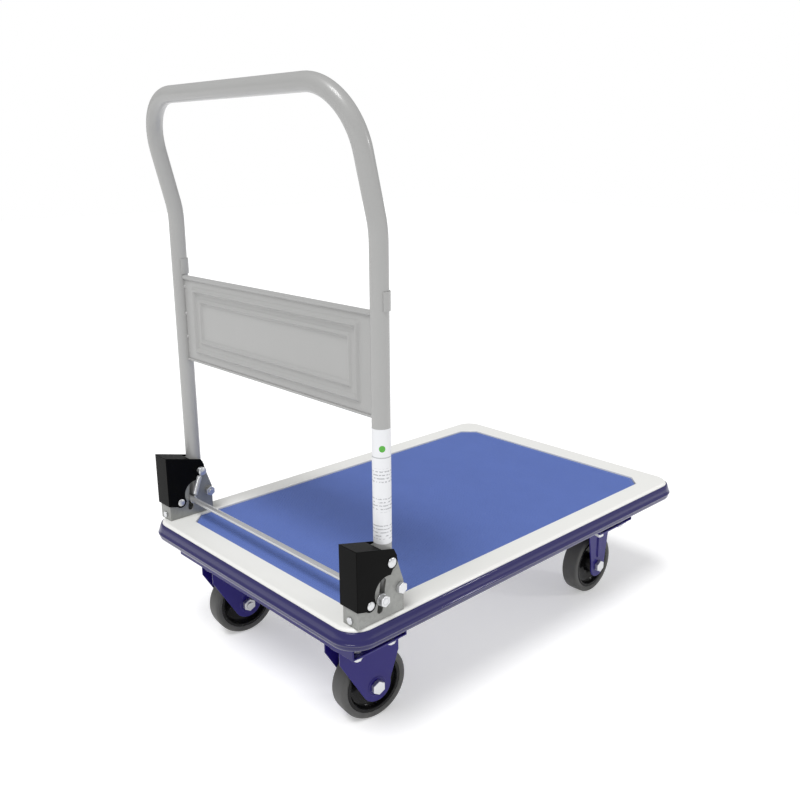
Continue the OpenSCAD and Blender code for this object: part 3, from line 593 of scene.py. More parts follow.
def path_mesh(points):
    """A line of edges through the points, for the tube tree."""
    mesh = bpy.data.meshes.new("path")
    mesh.from_pydata([tuple(p) for p in points], [(i, i + 1) for i in range(len(points) - 1)], [])
    return mesh


def arc(centre, radius, first, last, along, up, steps):
    """Points on an arc: the angle is measured from the along direction towards the up direction."""
    return [centre + (along * math.cos(a) + up * math.sin(a)) * radius
            for a in (first + (last - first) * i / steps for i in range(steps + 1))]


# ---------------------------------------------------------------- geometry node trees

def new_tree(name, inputs):
    """A geometry tree with these inputs, which paints what it makes with one material."""
    geometry = ("Geometry", "Geometry")
    return new_group(name, "GeometryNodeTree", [
        (*geometry, None), *inputs, ("Material", "Material", None)], [geometry])


def end_tree(tree, start, end, geometry):
    real = step(tree, "GeometryNodeRealizeInstances", {"Geometry": geometry})
    coloured = step(tree, "GeometryNodeSetMaterial", {"Geometry": real.outputs[0],
                                                      "Material": start.outputs["Material"]})
    tree.links.new(coloured.outputs[0], end.inputs["Geometry"])
    return tree


@cache
def tube_tree():
    """A round bar or wire along a path of edges."""
    tree, start, end = new_tree("tube_on_path", [
        ("Radius", "Float", 0.01), ("Sides", "Int", 24)])
    path = step(tree, "GeometryNodeMeshToCurve", {"Mesh": start.outputs["Geometry"]})
    ring = step(tree, "GeometryNodeCurvePrimitiveCircle", {"Resolution": start.outputs["Sides"],
                                                           "Radius": start.outputs["Radius"]})
    tube = step(tree, "GeometryNodeCurveToMesh", {"Curve": path.outputs[0],
                                                  "Profile Curve": ring.outputs["Curve"],
                                                  "Fill Caps": True})
    return end_tree(tree, start, end, tube.outputs[0])


@cache
def spread_tree():
    """One piece set on every point, its own Z turned to the point's axis."""
    tree, start, end = new_tree("piece_on_points", [("Piece", "Object", None)])
    piece = step(tree, "GeometryNodeObjectInfo", {"Object": start.outputs["Piece"]})
    axis = step(tree, "GeometryNodeInputNamedAttribute", {"Name": "axis"}, data_type="FLOAT_VECTOR")
    turn = step(tree, "FunctionNodeAlignRotationToVector",
                {"Vector": axis.outputs["Attribute"]}, axis="Z")
    spread = step(tree, "GeometryNodeInstanceOnPoints", {"Points": start.outputs["Geometry"],
                                                         "Instance": piece.outputs["Geometry"],
                                                         "Rotation": turn.outputs[0]})
    return end_tree(tree, start, end, spread.outputs[0])


@cache
def rib_tree():
    """Raised ribs across a sheet with cut corners, each as long as the outline lets it be."""
    tree, start, end = new_tree("sheet_ribs", [
        ("Half width", "Float", 0.2), ("Half length", "Float", 0.3),
        ("Corner cut", "Float", 0.02), ("Pitch", "Float", 0.003),
        ("Rib width", "Float", 0.0016), ("Rib height", "Float", 0.0005),
        ("Base height", "Float", 0.1)])
    given = start.outputs

    def calc(operation, *values):
        return math_node(tree, operation, *values)

    def vector(x, y, z):
        return step(tree, "ShaderNodeCombineXYZ", {0: x, 1: y, 2: z}).outputs[0]

    length = calc("MULTIPLY", given["Half length"], 2.0)
    count = calc("FLOOR", calc("DIVIDE", length, given["Pitch"]))
    first = calc("MULTIPLY", calc("MULTIPLY", calc("SUBTRACT", count, 1.0), given["Pitch"]), -0.5)
    line = step(tree, "GeometryNodeMeshLine", {
        "Count": count, "Start Location": vector(0.0, first, given["Base height"]),
        "Offset": vector(0.0, given["Pitch"], 0.0)})
    # The position is the rib's place on the line for its length, and a bar's own for its shape.
    position = step(tree, "GeometryNodeInputPosition").outputs[0]
    place = step(tree, "ShaderNodeSeparateXYZ", {0: position})
    from_end = calc("SUBTRACT", given["Half length"], calc("ABSOLUTE", place.outputs["Y"]))
    missing = calc("MAXIMUM", calc("SUBTRACT", given["Corner cut"], from_end), 0.0)
    reach = calc("SUBTRACT", given["Half width"], missing)
    bar = step(tree, "GeometryNodeMeshCube", {"Size": (2.0, 1.0, 1.0)})
    top = calc("GREATER_THAN", place.outputs["Z"], 0.0)
    narrow = step(tree, "ShaderNodeVectorMath", {0: position, 1: (1.0, 0.5, 1.0)},
                  operation="MULTIPLY")
    rib = step(tree, "GeometryNodeSetPosition", {"Geometry": bar.outputs["Mesh"], "Selection": top,
                                                 "Position": narrow.outputs[0]})
    ribs = step(tree, "GeometryNodeInstanceOnPoints", {
        "Points": line.outputs[0], "Instance": rib.outputs[0],
        "Scale": vector(reach, given["Rib width"], given["Rib height"])})
    return end_tree(tree, start, end, ribs.outputs[0])


@cache
def ball_tree():
    """A ring of balls about Z."""
    tree, start, end = new_tree("ring_of_balls", [
        ("Count", "Int", 16), ("Ring radius", "Float", 0.019),
        ("Ball radius", "Float", 0.0026)])
    ring = step(tree, "GeometryNodeMeshCircle", {"Vertices": start.outputs["Count"],
                                                 "Radius": start.outputs["Ring radius"]})
    ball = step(tree, "GeometryNodeMeshIcoSphere", {"Radius": start.outputs["Ball radius"],
                                                    "Subdivisions": 3})
    balls = step(tree, "GeometryNodeInstanceOnPoints", {"Points": ring.outputs[0],
                                                        "Instance": ball.outputs["Mesh"]})
    return end_tree(tree, start, end, balls.outputs[0])


def grown(tree, base=None, **values):
    """The plain mesh that a geometry tree makes from a base mesh and its named inputs."""
    helper = new_object("helper", base or bpy.data.meshes.new("helper"))
    modifier = helper.modifiers.new("grow", "NODES")
    modifier.node_group = tree
    ids = {s.name: s.identifier for s in tree.interface.items_tree
           if s.item_type == "SOCKET" and s.in_out == "INPUT"}
    for key, value in values.items():
        modifier[ids[key.replace("_", " ").capitalize()]] = value
    mesh = taken(helper)
    if not mesh.polygons:
        raise RuntimeError(f"the tree {tree.name} made nothing")
    return mesh


def rod_along(points, radius, sides, material, smooth_under=math.radians(50)):
    mesh = grown(tube_tree(), path_mesh(points), radius=radius, sides=sides, material=material)
    mesh.shade_smooth()
    mesh.set_sharp_from_angle(angle=smooth_under)
    return mesh


def spread_on(places, shape, material):
    """Copies of a small shape on (point, axis) places, as one plain mesh."""
    points = bpy.data.meshes.new("places")
    points.from_pydata([tuple(p) for p, _ in places], [], [])
    axes = points.attributes.new("axis", "FLOAT_VECTOR", "POINT")
    for item, (_, axis) in zip(axes.data, places):
        item.vector = axis
    sample = new_object("sample", to_mesh("sample", shape))
    mesh = grown(spread_tree(), points, piece=sample, material=material)
    bpy.data.objects.remove(sample)
    return mesh


def joined(name, meshes):
    """Several meshes as one."""
    shape = bmesh.new()
    for mesh in meshes:
        shape.from_mesh(mesh)
    return to_mesh(name, shape)


# ---------------------------------------------------------------- small turned shapes

def hex_shape(across, low, high, chamfer=0.6 * MM, hole=0.0):
    """A hexagon about Z with its corners turned off at both ends, with or without a hole."""
    shape = bmesh.new()
    corner = across / 2 / math.cos(math.radians(30))
    outline = []
    for side in range(6):
        for part in range(4):
            angle = math.radians(60 * side + 15 * part)
            flat = math.radians(60 * side + 30) - angle
            outline.append((angle, min(corner, across / 2 / math.cos(flat))))

    def ring(height, limit):
        return [shape.verts.new((min(r, limit) * math.cos(a), min(r, limit) * math.sin(a), height))
                for a, r in outline]

    rings = [ring(low, across / 2), ring(low + chamfer, corner), ring(high - chamfer, corner),
             ring(high, across / 2)]
    for here, there in zip(rings, rings[1:]):
        close_strip(shape, here, there)
    if hole:
        inner = [[shape.verts.new((hole * math.cos(a), hole * math.sin(a), z)) for a, _ in outline]
                 for z in (low, high)]
        for here, there in ((rings[0], inner[0]), (inner[0], inner[1]), (inner[1], rings[-1])):
            close_strip(shape, here, there)
    else:
        shape.faces.new(rings[0])
        shape.faces.new(rings[-1])
    bmesh.ops.recalc_face_normals(shape, faces=shape.faces)
    return shape


def bolt_shape(across, head_low, head_high, shank_radius, shank_low):
    """A hex bolt about Z, head up, with a shank that ends in a small chamfer."""
    shape = hex_shape(across, head_low, head_high)
    core, chamfer = 0.2 * MM, 0.8 * MM
    profile = [(head_low + core, core), (head_low + core, shank_radius),
               (shank_low + chamfer, shank_radius), (shank_low, shank_radius - chamfer),
               (shank_low, core)]
    shape.from_mesh(to_mesh("shank", turned(profile, (0, 0, 0), (0, 0, 1), 24)))
    return shape


# ---------------------------------------------------------------- operators

class CartOperator:
    """What every operator here shares."""

    bl_options = {"REGISTER", "UNDO"}


class CART_OT_deck(CartOperator, bpy.types.Operator):
    """Make the pressed deck pan and its two foot tabs"""

    bl_idname = "cart.deck"
    bl_label = "Deck pan"

    def execute(self, context):
        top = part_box("deck_pan")[1]
        level, inset = 0.05 * MM, 20 * MM
        shape = merged("deck_pan")

        def round_the_mat(edge):
            """Whether an edge of the deck's top lies well in from the outer edge."""
            return all(abs(v.co.z - top.z) < level and abs(v.co.x) < top.x - inset
                       and abs(v.co.y) < top.y - inset for v in edge.verts)

        bevelled(shape, deck().recess_edge, 4, chosen=round_the_mat)
        bevelled(shape, 0.3 * MM, 1, sharp=math.radians(70))
        mesh = evenly_lit(to_mesh("deck_pan_mesh", shape))
        put("deck_pan_made", mesh, border_enamel(), "deck_pan")
        softened("foot_tabs", 0.4 * MM, border_enamel())
        return {"FINISHED"}


class CART_OT_mat(CartOperator, bpy.types.Operator):
    """Make the ribbed mat that lies in the deck's recess"""

    bl_idname = "cart.mat"
    bl_label = "Mat"

    def execute(self, context):
        settings = deck()
        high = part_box("deck_mat")[1]
        ledge = high.z - settings.rib_height
        shape = merged("deck_mat")
        for vertex in shape.verts:
            vertex.co.z = min(vertex.co.z, ledge)
        cut = high.x - max(v.co.x for v in shape.verts if v.co.y > high.y - 0.1 * MM)
        bevelled(shape, 0.5 * MM, 2, sharp=math.radians(60))
        base = to_mesh("mat_base", shape)
        margin, pitch = settings.mat_margin, settings.rib_pitch
        ribs = grown(rib_tree(), half_width=high.x - margin, half_length=high.y - margin,
                     corner_cut=cut, pitch=pitch, rib_width=pitch * settings.rib_share,
                     rib_height=settings.rib_height * 2, base_height=ledge, material=mat_rubber())
        put("ribbed_mat", joined("mat_mesh", [base, ribs]), mat_rubber(), "deck_mat")
        return {"FINISHED"}


class CART_OT_bumper(CartOperator, bpy.types.Operator):
    """Make the vinyl bumper that hooks round the deck's skirt"""

    bl_idname = "cart.bumper"
    bl_label = "Bumper"

    def execute(self, context):
        settings = deck()
        low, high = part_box("bumper")
        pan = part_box("deck_pan")[1]
        reach, tall = high.x - pan.x, high.z - low.z
        bead, hook, depth = settings.bumper_bead, settings.hook, settings.hook_depth
        bead_z = high.z - 0.60 * tall
        # The face slopes out to the bead. Each pair is a share of the reach and of the height.
        section = [(across * reach, high.z - down * tall) for across, down in (
            (0.0, 0.0), (0.20, 0.005), (0.29, 0.025), (0.36, 0.06), (0.48, 0.14), (0.60, 0.24),
            (0.71, 0.35))]
        section += [(p.x, p.z) for p in arc(
            Vector((reach - bead, 0, bead_z)), bead, math.radians(60), math.radians(-70),
            Vector((1, 0, 0)), Vector((0, 0, 1)), 10)]
        # Below the bead it is cut back in a quarter of an ellipse, and ends in the hook.
        drop = bead_z - 1.5 * bead - low.z
        for degrees in range(0, 91, 10):
            angle = math.radians(degrees)
            section.append((reach * (0.22 + 0.56 * math.cos(angle)),
                            low.z + drop * (1 - math.sin(angle))))
        section += [(-depth, low.z), (-depth - 0.4 * MM, low.z + 0.5 * hook),
                    (-depth, low.z + hook), (0.0, low.z + hook)]
        shape = swept_rim(section, pan.x, pan.y, settings.corner, steps=18)
        put("bumper_made", to_mesh("bumper_mesh", shape, math.radians(50)), bumper_vinyl(),
            "bumper")
        return {"FINISHED"}


class CART_OT_handle(CartOperator, bpy.types.Operator):
    """Make the bent handle tube"""

    bl_idname = "cart.handle"
    bl_label = "Handle tube"

    def execute(self, context):
        settings = handle()
        radius, bend, corner = settings.tube / 2, settings.bend, settings.corner
        bend_z, lean = settings.bend_height, settings.lean
        x, y, pivot = leg_axis_x(), leg_axis_y(), pivot_height()
        foot_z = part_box("handle_tube")[0].z
        across, back = Vector((1, 0, 0)), Vector((0, 1, 0))
        up = Vector((0, -math.sin(lean), math.cos(lean)))
        side_path = [Vector((x, y, foot_z + 1.5 * MM)), Vector((x, y, (pivot + bend_z) / 2))]
        side_path += arc(Vector((x, y - bend, bend_z)), bend, 0, lean, back, Vector((0, 0, 1)), 14)
        middle = side_path[-1] + up * settings.upper_leg - across * corner
        side_path += arc(middle, corner, 0, math.pi / 2, across, up, 20)
        mirrored = [Vector((-p.x, p.y, p.z)) for p in reversed(side_path)]
        mesh = rod_along(side_path + mirrored, radius, 40, handle_enamel())
        # The tails are rounded about the pivot, so that they clear the bracket as they swing.
        tail = pivot - foot_z
        for vertex in mesh.vertices:
            if vertex.co.z < pivot - 0.75 * tail:
                aside = min(abs(vertex.co.y - y), radius)
                vertex.co.z = pivot - math.sqrt(tail * tail - aside * aside) + 0.3 * MM
        put("handle_tube_made", mesh, handle_enamel(), "handle_tube")
        return {"FINISHED"}


class CART_OT_panel(CartOperator, bpy.types.Operator):
    """Make the pressed back panel with its rolled bead, hem and weld spots"""

    bl_idname = "cart.panel"
    bl_label = "Back panel"

    def execute(self, context):
        settings = handle()
        low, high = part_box("back_panel")
        y, half, sheet = leg_axis_y(), high.x, settings.sheet
        bead, hem, paint = settings.panel_bead, settings.hem, handle_enamel()
        bead_z = high.z - bead
        parts = [to_mesh("pressing", self.pressing(low, high, bead_z), math.radians(60))]

        def roll(roll_y, roll_z, radius, sides):
            """A round bar along the panel's whole width."""
            ends = [Vector((side * half, roll_y, roll_z)) for _, side in SIDES]
            parts.append(rod_along(ends, radius, sides, paint))

        roll(y, bead_z, bead, 24)
        # Rolls along the foot: behind the sheet, in front of it, and on the flange.
        for hem_y, hem_z in ((-hem, hem), (hem * 0.8, hem * 0.9), (4.5 * MM, hem * 0.8)):
            roll(y + hem_y, low.z + hem_z, hem * 0.9, 12)
        lip = bmesh.new()
        bmesh.ops.create_cube(lip, size=1.0, matrix=Matrix.Translation(
            (0, (high.y + y) / 2, low.z + sheet / 2)) @ Matrix.Diagonal(
            (2 * half, high.y - y - 0.2 * MM, sheet, 1)))
        parts.append(to_mesh("lip", bevelled(lip, 0.4 * MM)))
        weld_size = Matrix.Diagonal((2.4 * MM, 1.8 * MM, 2.8 * MM, 1))
        for _, side in SIDES:
            for share in (0.28, 0.55, 0.86):
                place = (side * (half + 0.1 * MM), y - 0.6 * MM, low.z + share * (high.z - low.z))
                weld = bmesh.new()
                bmesh.ops.create_icosphere(weld, subdivisions=3, radius=1.0,
                                           matrix=Matrix.Translation(place) @ weld_size)
                parts.append(to_mesh("weld", weld))
        put("back_panel_made", joined("panel_mesh", parts), paint, "back_panel")
        return {"FINISHED"}

    def pressing(self, low, high, top_z):
        """The panel's sheet, with an outer and an inner frame pressed towards the rear."""
        settings = handle()
        y, half, sheet = leg_axis_y(), high.x, settings.sheet
        side_inset, foot_inset, head_inset = 22 * MM, 13 * MM, 15 * MM
        outer_width, inner_width, frame_gap = 10 * MM, 9 * MM, 15 * MM
        field_sink, field_slope = 0.5 * MM, 5 * MM

        def ridge(inset, width, height):
            share = inset / width
            return height * 0.5 * (1 - math.cos(2 * math.pi * share)) if 0 < share < 1 else 0.0

        def pressed(px, pz):
            """How far the sheet is pressed towards the rear at a place on the panel."""
            outer = min(half - abs(px) - side_inset, pz - low.z - foot_inset,
                        high.z - pz - head_inset)
            inner = outer - frame_gap
            return (ridge(outer, outer_width, settings.outer_ridge)
                    + ridge(inner, inner_width, settings.inner_ridge)
                    - field_sink * max(0.0, min(1.0, inner / field_slope)))

        def stations(first, last, dense, fine, coarse):
            """Places from first to last, close together within dense of either end."""
            found, at = [first], first
            while at < last - fine / 2:
                near = min(at - first, last - at)
                at = min(at + (fine if near < dense or last - at <= coarse else coarse), last)
                found.append(at)
            return found

        across = stations(-half, half, 52 * MM, 1 * MM, 8 * MM)
        upward = stations(low.z + 0.5 * MM, top_z, 60 * MM, 1 * MM, 2 * MM)
        shape = bmesh.new()
        skins = [[[shape.verts.new((px, y + offset - pressed(px, pz), pz)) for pz in upward]
                  for px in across] for offset in (-sheet / 2, sheet / 2)]
        for grid, flip in zip(skins, (False, True)):
            for here, there in zip(grid, grid[1:]):
                for i in range(len(upward) - 1):
                    corners = (here[i], there[i], there[i + 1], here[i + 1])
                    shape.faces.new(corners[::-1] if flip else corners)
        rear, front = ([column[0] for column in s] + s[-1][1:]
                       + [column[-1] for column in s[-2::-1]] + s[0][-2:0:-1] for s in skins)
        close_strip(shape, front, rear)
        bmesh.ops.recalc_face_normals(shape, faces=shape.faces)
        return shape


class CART_OT_leg_trim(CartOperator, bpy.types.Operator):
    """Make the saddle clips and print the label on the leg"""

    bl_idname = "cart.leg_trim"
    bl_label = "Leg clips and label"

    def execute(self, context):
        softened("leg_clips", 0.4 * MM, handle_enamel())
        painted(NODES["leg_label"].data, label_vinyl())
        return {"FINISHED"}


class CART_OT_brackets(CartOperator, bpy.types.Operator):
    """Make the brackets, their plastic covers and the pins and bolts through them"""

    bl_idname = "cart.brackets"
    bl_label = "Brackets and covers"

    def execute(self, context):
        for side, _ in SIDES:
            softened("bracket_" + side, 0.45 * MM, galvanised_sheet())
            softened("cover_" + side, 0.7 * MM, cover_plastic(), segments=3)
        for node in ("stop_bolts", "stop_nuts", "foot_screws", "bracket_bolts", "bracket_nuts"):
            softened(node, 0.6 * MM, bright_zinc())
        self.domed_pins("pivot_pins", 3.9 * MM, 2.4 * MM)
        self.domed_pins("cover_rivets", 2.9 * MM, 1.9 * MM)
        return {"FINISHED"}

    def domed_pins(self, node, shank, head):
        """Pins across the brackets, headed at both ends. A head is a low dome with a small flat,
        and its points are given by their angle round the dome, in radians, out to its rim."""
        parts = []
        for low, high in loose_parts(node):
            centre, half, radius = (low + high) / 2, (high.x - low.x) / 2, (high.y - low.y) / 2
            rim = 1.45
            dome = [(half - head * (1 - math.cos(a)) * 0.9, radius * math.sin(a) / math.sin(rim))
                    for a in (0.3, 0.5, 0.7, 0.9, 1.1, 1.3, rim)]
            end = [(half, 0.1 * MM), (half, dome[0][1] * 0.9), *dome, (half - head, radius),
                   (half - head, shank)]
            profile = end + [(-x, r) for x, r in reversed(end)]
            parts.append(to_mesh("pin", turned(profile, centre, (1, 0, 0), 32)))
        put(node + "_made", joined(node, parts), bright_zinc(), node)


class CART_OT_release(CartOperator, bpy.types.Operator):
    """Make the release rod with its washers and nuts"""

    bl_idname = "cart.release"
    bl_label = "Release rod"

    def execute(self, context):
        for node in ("release_rod", "rod_washers", "rod_nuts"):
            softened(node, 0.5 * MM, bright_zinc())
        return {"FINISHED"}


class CART_OT_springs(CartOperator, bpy.types.Operator):
    """Make the two return springs, wound wire with a hook at each end"""

    bl_idname = "cart.springs"
    bl_label = "Return springs"

    def execute(self, context):
        rod_low, rod_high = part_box("release_rod")
        rod = Vector((0, (rod_low.y + rod_high.y) / 2, (rod_low.z + rod_high.z) / 2))
        pin = Vector((0, leg_axis_y(), pivot_height()))
        wire = mechanism().wire / 2
        coil = mechanism().spring / 2 - wire
        span = (pin - rod).length
        up, out = (pin - rod).normalized(), Vector((1, 0, 0))
        flat = up.cross(out)
        hook, hook_turn = (rod_high.z - rod_low.z) / 2 + 0.3 * MM + wire, math.radians(250)
        low = hook + coil + wire
        coils, pitch, per_turn = span - 2 * low, 2.05 * wire, 16
        turns = math.floor(coils / pitch)

        for side, _ in SIDES:
            box_low, box_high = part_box("return_spring_" + side)
            base = Vector(((box_low.x + box_high.x) / 2, rod.y, rod.z))
            top = base + up * span
            points = arc(base, hook, hook_turn, 0, up, flat, 20)
            for i in range(turns * per_turn + 1):
                angle = 2 * math.pi * i / per_turn
                rise = low + coils * i / (turns * per_turn)
                points.append(base + up * rise
                              + (flat * math.cos(angle) + out * math.sin(angle)) * coil)
            points += arc(top, hook, 0, hook_turn, -up, flat, 20)
            mesh = rod_along(points, wire, 8, bright_zinc(), math.radians(80))
            spring = new_object("wound_spring_" + side, mesh)
            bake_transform(spring)
            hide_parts("return_spring_" + side)
        return {"FINISHED"}


class CART_OT_chassis(CartOperator, bpy.types.Operator):
    """Make the cross channels and stiffeners under the deck"""

    bl_idname = "cart.chassis"
    bl_label = "Chassis"

    def execute(self, context):
        for node in ("cross_channel_rear", "cross_channel_front", "deck_stiffeners"):
            softened(node, 0.6 * MM, caster_enamel())
        return {"FINISHED"}


class CART_OT_casters(CartOperator, bpy.types.Operator):
    """Make the caster plates, forks, kingpins, bearing balls and axle bolts"""

    bl_idname = "cart.casters"
    bl_label = "Casters"

    def execute(self, context):
        paint, zinc = caster_enamel(), bright_zinc()
        for side, _ in SIDES:
            softened("swivel_plate_" + side, 0.8 * MM, paint, segments=3)
            self.swivel_fork(side, paint)
            softened("fixed_fork_" + side, 0.8 * MM, paint, segments=3)
            for node in ("kingpin_", "rear_axle_bolt_", "rear_axle_nut_"):
                softened(node + side, 0.7 * MM, zinc)
            self.balls(side, zinc)
        softened("front_axle_bolts", 0.7 * MM, zinc)
        softened("front_axle_nuts", 0.7 * MM, zinc)
        return {"FINISHED"}

    def swivel_fork(self, side, paint):
        """The bent fork with a raised ring pressed round the axle hole in each cheek."""
        node = "swivel_fork_" + side
        joint = JOINTS[f"rear_wheel_{side}_spin"]
        centre, axis = Vector(joint["pos_m"]), Vector(joint["axis"]).normalized()
        arms = [v.co - centre for v in NODES[node].data.vertices]
        reach = 25 * MM
        near = [a.dot(axis) for a in arms if (a - axis * a.dot(axis)).length < reach]
        # How far out of the cheek the ring stands, and its radius there, in millimetres.
        section = ((-0.4, 11.2), (0.5, 11.6), (0.8, 12.3), (0.8, 13.0), (0.5, 13.8), (-0.4, 14.4))
        meshes = [soft_mesh(node, 0.8 * MM, 3)]
        for cheek, way in ((max(near), 1), (min(near), -1)):
            profile = [(cheek + way * out * MM, radius * MM) for out, radius in section]
            meshes.append(to_mesh("ring", turned(profile, centre, axis, 48)))
        put(node + "_made", joined(node + "_mesh", meshes), paint, node)

    def balls(self, side, zinc):
        node = "ball_ring_" + side
        low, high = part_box(node)
        middle, parts = (low + high) / 2, loose_parts(node)
        ring = max(((a + b) / 2 - middle).length for a, b in parts)
        mesh = grown(ball_tree(), count=len(parts), ring_radius=ring,
                     ball_radius=(high.z - low.z) / 2, material=zinc)
        mesh.transform(Matrix.Translation(middle))
        mesh.shade_smooth()
        put("bearing_balls_" + side, mesh, zinc, node)


class CART_OT_fasteners(CartOperator, bpy.types.Operator):
    """Make the sixteen plate bolts and their nuts"""

    bl_idname = "cart.fasteners"
    bl_label = "Plate bolts and nuts"

    def execute(self, context):
        settings, zinc = caster(), bright_zinc()
        bolts, nuts = loose_parts("caster_bolts"), loose_parts("caster_nuts")
        bolt, nut = (high - low for low, high in (bolts[0], nuts[0]))
        across, shank = min(nut.x, nut.y), settings.bolt / 2
        bolt_mesh = bolt_shape(across, bolt.z - settings.bolt_head, bolt.z, shank, 0)
        nut_mesh = hex_shape(across, 0, nut.z, hole=shank + 0.05 * MM)
        for name, shape, boxes, node in (("plate_bolts", bolt_mesh, bolts, "caster_bolts"),
                                         ("plate_nuts", nut_mesh, nuts, "caster_nuts")):
            places = [(Vector(((a.x + b.x) / 2, (a.y + b.y) / 2, a.z)), Vector((0, 0, 1)))
                      for a, b in boxes]
            put(name, spread_on(places, shape, zinc), zinc, node)
        return {"FINISHED"}


class CART_OT_wheels(CartOperator, bpy.types.Operator):
    """Make the four wheels, each a tyre, a dished hub and a steel bush"""

    bl_idname = "cart.wheels"
    bl_label = "Wheels"

    def execute(self, context):
        low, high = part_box("front_tyre_right")
        radius, half = (high.z - low.z) / 2, (high.x - low.x) / 2
        rim, steps = radius - caster().tyre_depth, caster().steps
        for end in ("rear", "front"):
            for side, _ in SIDES:
                joint = JOINTS[f"{end}_wheel_{side}_spin"]
                place = (Vector(joint["pos_m"]), Vector(joint["axis"]))
                tyre = turned(self.tyre_profile(radius, half, rim), *place, steps)
                put(f"{end}_tyre_{side}_made", to_mesh("tyre", tyre), tyre_rubber(),
                    f"{end}_tyre_{side}")
                hub_low, hub_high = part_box(f"front_hub_{side}")
                hub = turned(self.hub_profile((hub_high.x - hub_low.x) / 2, rim, half), *place,
                             steps)
                put(f"{end}_hub_{side}_made", to_mesh("hub", hub), hub_nylon(),
                    f"{end}_hub_{side}")
                softened(f"{end}_bush_{side}", 0.4 * MM, bright_zinc())
        return {"FINISHED"}

    def tyre_profile(self, radius, half, rim):
        """Soft shoulders, a slightly bulged side wall and a fine mould line round the tread."""
        shoulder = caster().shoulder
        right = [(half - inward * MM, rim + out * MM)
                 for inward, out in ((1.0, 0.0), (0.7, 1.4), (0.2, 2.2))]
        for degrees in range(0, 76, 12):
            angle = math.radians(degrees)
            right.append((half - shoulder + shoulder * math.cos(angle),
                          radius - 0.15 * MM - shoulder + shoulder * math.sin(angle)))
        right += [(half * 0.45, radius - 0.05 * MM), (0.5 * MM, radius - 0.02 * MM),
                  (0.25 * MM, radius)]
        return right + [(-x, r) for x, r in reversed(right)]

    def hub_profile(self, half_boss, rim, half_tyre):
        """A dished web between the rim and the boss, the same on both faces."""
        boss, edge = caster().boss, half_tyre - 1.0 * MM
        bush_low, bush_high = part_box("front_bush_left")
        bore = (bush_high.z - bush_low.z) / 2 + 0.1 * MM

        def offsets(x, radius, *pairs):
            """Points at these millimetres from a place along the axis and from a radius."""
            return [(x + along * MM, radius + out * MM) for along, out in pairs]

        right = [(half_boss, bore)]
        right += offsets(half_boss, boss, (0.0, -1.6), (-1.4, -0.4))
        right += offsets(0.0, boss, (8.0, 0.6), (5.4, 1.8), (4.4, 4.0), (4.0, 9.0))
        right += offsets(0.0, rim, (4.6, -9.0), (6.4, -6.6), (9.0, -5.6))
        right += offsets(edge, rim, (-1.0, -5.0), (-0.2, -4.4), (0.0, -3.4), (0.0, -1.0),
                         (-0.4, -0.1))
        return right + [(-x, r) for x, r in reversed(right)]


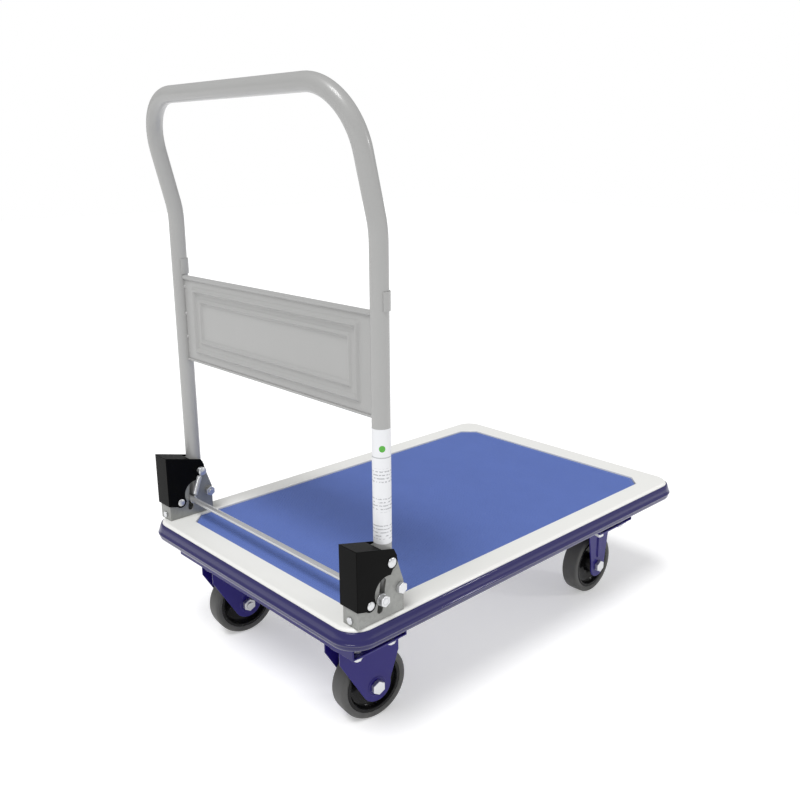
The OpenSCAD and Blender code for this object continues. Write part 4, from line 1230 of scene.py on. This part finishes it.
class CART_OT_stage(CartOperator, bpy.types.Operator):
    """Set out the floor, the soft lights and the camera"""

    bl_idname = "cart.stage"
    bl_label = "Stage"

    def execute(self, context):
        self.floor()
        self.lights()
        self.camera()
        return {"FINISHED"}

    def floor(self):
        shape = bmesh.new()
        bmesh.ops.create_grid(shape, x_segments=2, y_segments=2, size=9.0)
        paper = surface("pale_floor", stage().floor, roughness=0.8, grain=0.02, grain_scale=40.0,
                        mottle=0.004, specular=0.1)
        shader = next(n for n in paper.node_tree.nodes if n.type == "BSDF_PRINCIPLED")
        shader.inputs["Emission Color"].default_value = (1, 1, 1, 1)
        shader.inputs["Emission Strength"].default_value = stage().glow
        new_object("floor", painted(to_mesh("floor", shape), paper))

    def lights(self):
        world = bpy.context.scene.world or bpy.data.worlds.new("studio")
        bpy.context.scene.world = world
        world.use_nodes = True
        tree = world.node_tree
        sky = tree.nodes["Background"]
        sky.inputs["Color"].default_value = (1.0, 1.0, 1.0, 1)
        seen = tree.nodes.new("ShaderNodeLightPath").outputs["Is Camera Ray"]
        tree.links.new(remap(tree, seen, 0.0, 1.0, stage().sky, 1.0), sky.inputs["Strength"])
        for name, kind, place, size, power in (
                ("overhead", "SUN", (0.35, -1.0, 2.3), math.radians(26), 2.15),
                ("side_window", "AREA", (1.9, 1.5, 1.25), 0.25, 8)):
            light = bpy.data.lights.new(name, kind)
            setattr(light, "angle" if kind == "SUN" else "size", size)
            light.energy = power
            lamp = new_object(name, light)
            lamp.location = place
            aim = Vector((0, 0, 0.25)) - Vector(place)
            lamp.rotation_euler = aim.to_track_quat("-Z", "Y").to_euler()

    def camera(self):
        settings = stage()
        turn, tilt = settings.azimuth, settings.pitch
        level = math.cos(tilt)
        forward = Vector((-math.sin(turn) * level, math.cos(turn) * level, -math.sin(tilt)))
        lens = bpy.data.cameras.new("camera")
        lens.lens = settings.lens
        lens.sensor_width = 36
        lens.shift_x, lens.shift_y = -0.0095, -0.024
        camera = new_object("camera", lens)
        camera.location = settings.place
        camera.rotation_mode = "QUATERNION"
        camera.rotation_quaternion = (Quaternion(forward, settings.roll)
                                      @ forward.to_track_quat("-Z", "Y"))
        bpy.context.scene.camera = camera
        bpy.context.scene.view_settings.view_transform = "Standard"


OPERATORS = (CART_OT_stage, CART_OT_deck, CART_OT_mat, CART_OT_bumper, CART_OT_handle,
             CART_OT_panel, CART_OT_leg_trim, CART_OT_brackets, CART_OT_release, CART_OT_springs,
             CART_OT_chassis, CART_OT_casters, CART_OT_fasteners, CART_OT_wheels)
SETTINGS = {"cart_deck": DeckSettings, "cart_handle": HandleSettings,
            "cart_mechanism": MechanismSettings, "cart_caster": CasterSettings,
            "cart_stage": StageSettings}


class CART_PT_panel(bpy.types.Panel):
    """Lists the cart's pieces and their settings"""

    bl_idname = "CART_PT_panel"
    bl_label = "Platform cart"
    bl_space_type = "VIEW_3D"
    bl_region_type = "UI"
    bl_category = "Cart"

    def draw(self, context):
        for name, kind in SETTINGS.items():
            box = self.layout.box()
            for prop in kind.__annotations__:
                box.prop(getattr(context.scene, name), prop)
        for operator in OPERATORS:
            self.layout.operator(operator.bl_idname)


def register():
    for name, kind in SETTINGS.items():
        bpy.utils.register_class(kind)
        setattr(bpy.types.Scene, name, PointerProperty(type=kind))
    for kind in (*OPERATORS, CART_PT_panel):
        bpy.utils.register_class(kind)


def unregister():
    for kind in (CART_PT_panel, *reversed(OPERATORS)):
        bpy.utils.unregister_class(kind)
    for name, kind in SETTINGS.items():
        delattr(bpy.types.Scene, name)
        bpy.utils.unregister_class(kind)


def main():
    register()
    for operator in OPERATORS:
        group, name = operator.bl_idname.split(".")
        getattr(getattr(bpy.ops, group), name)()


if __name__ == "__main__":
    main()
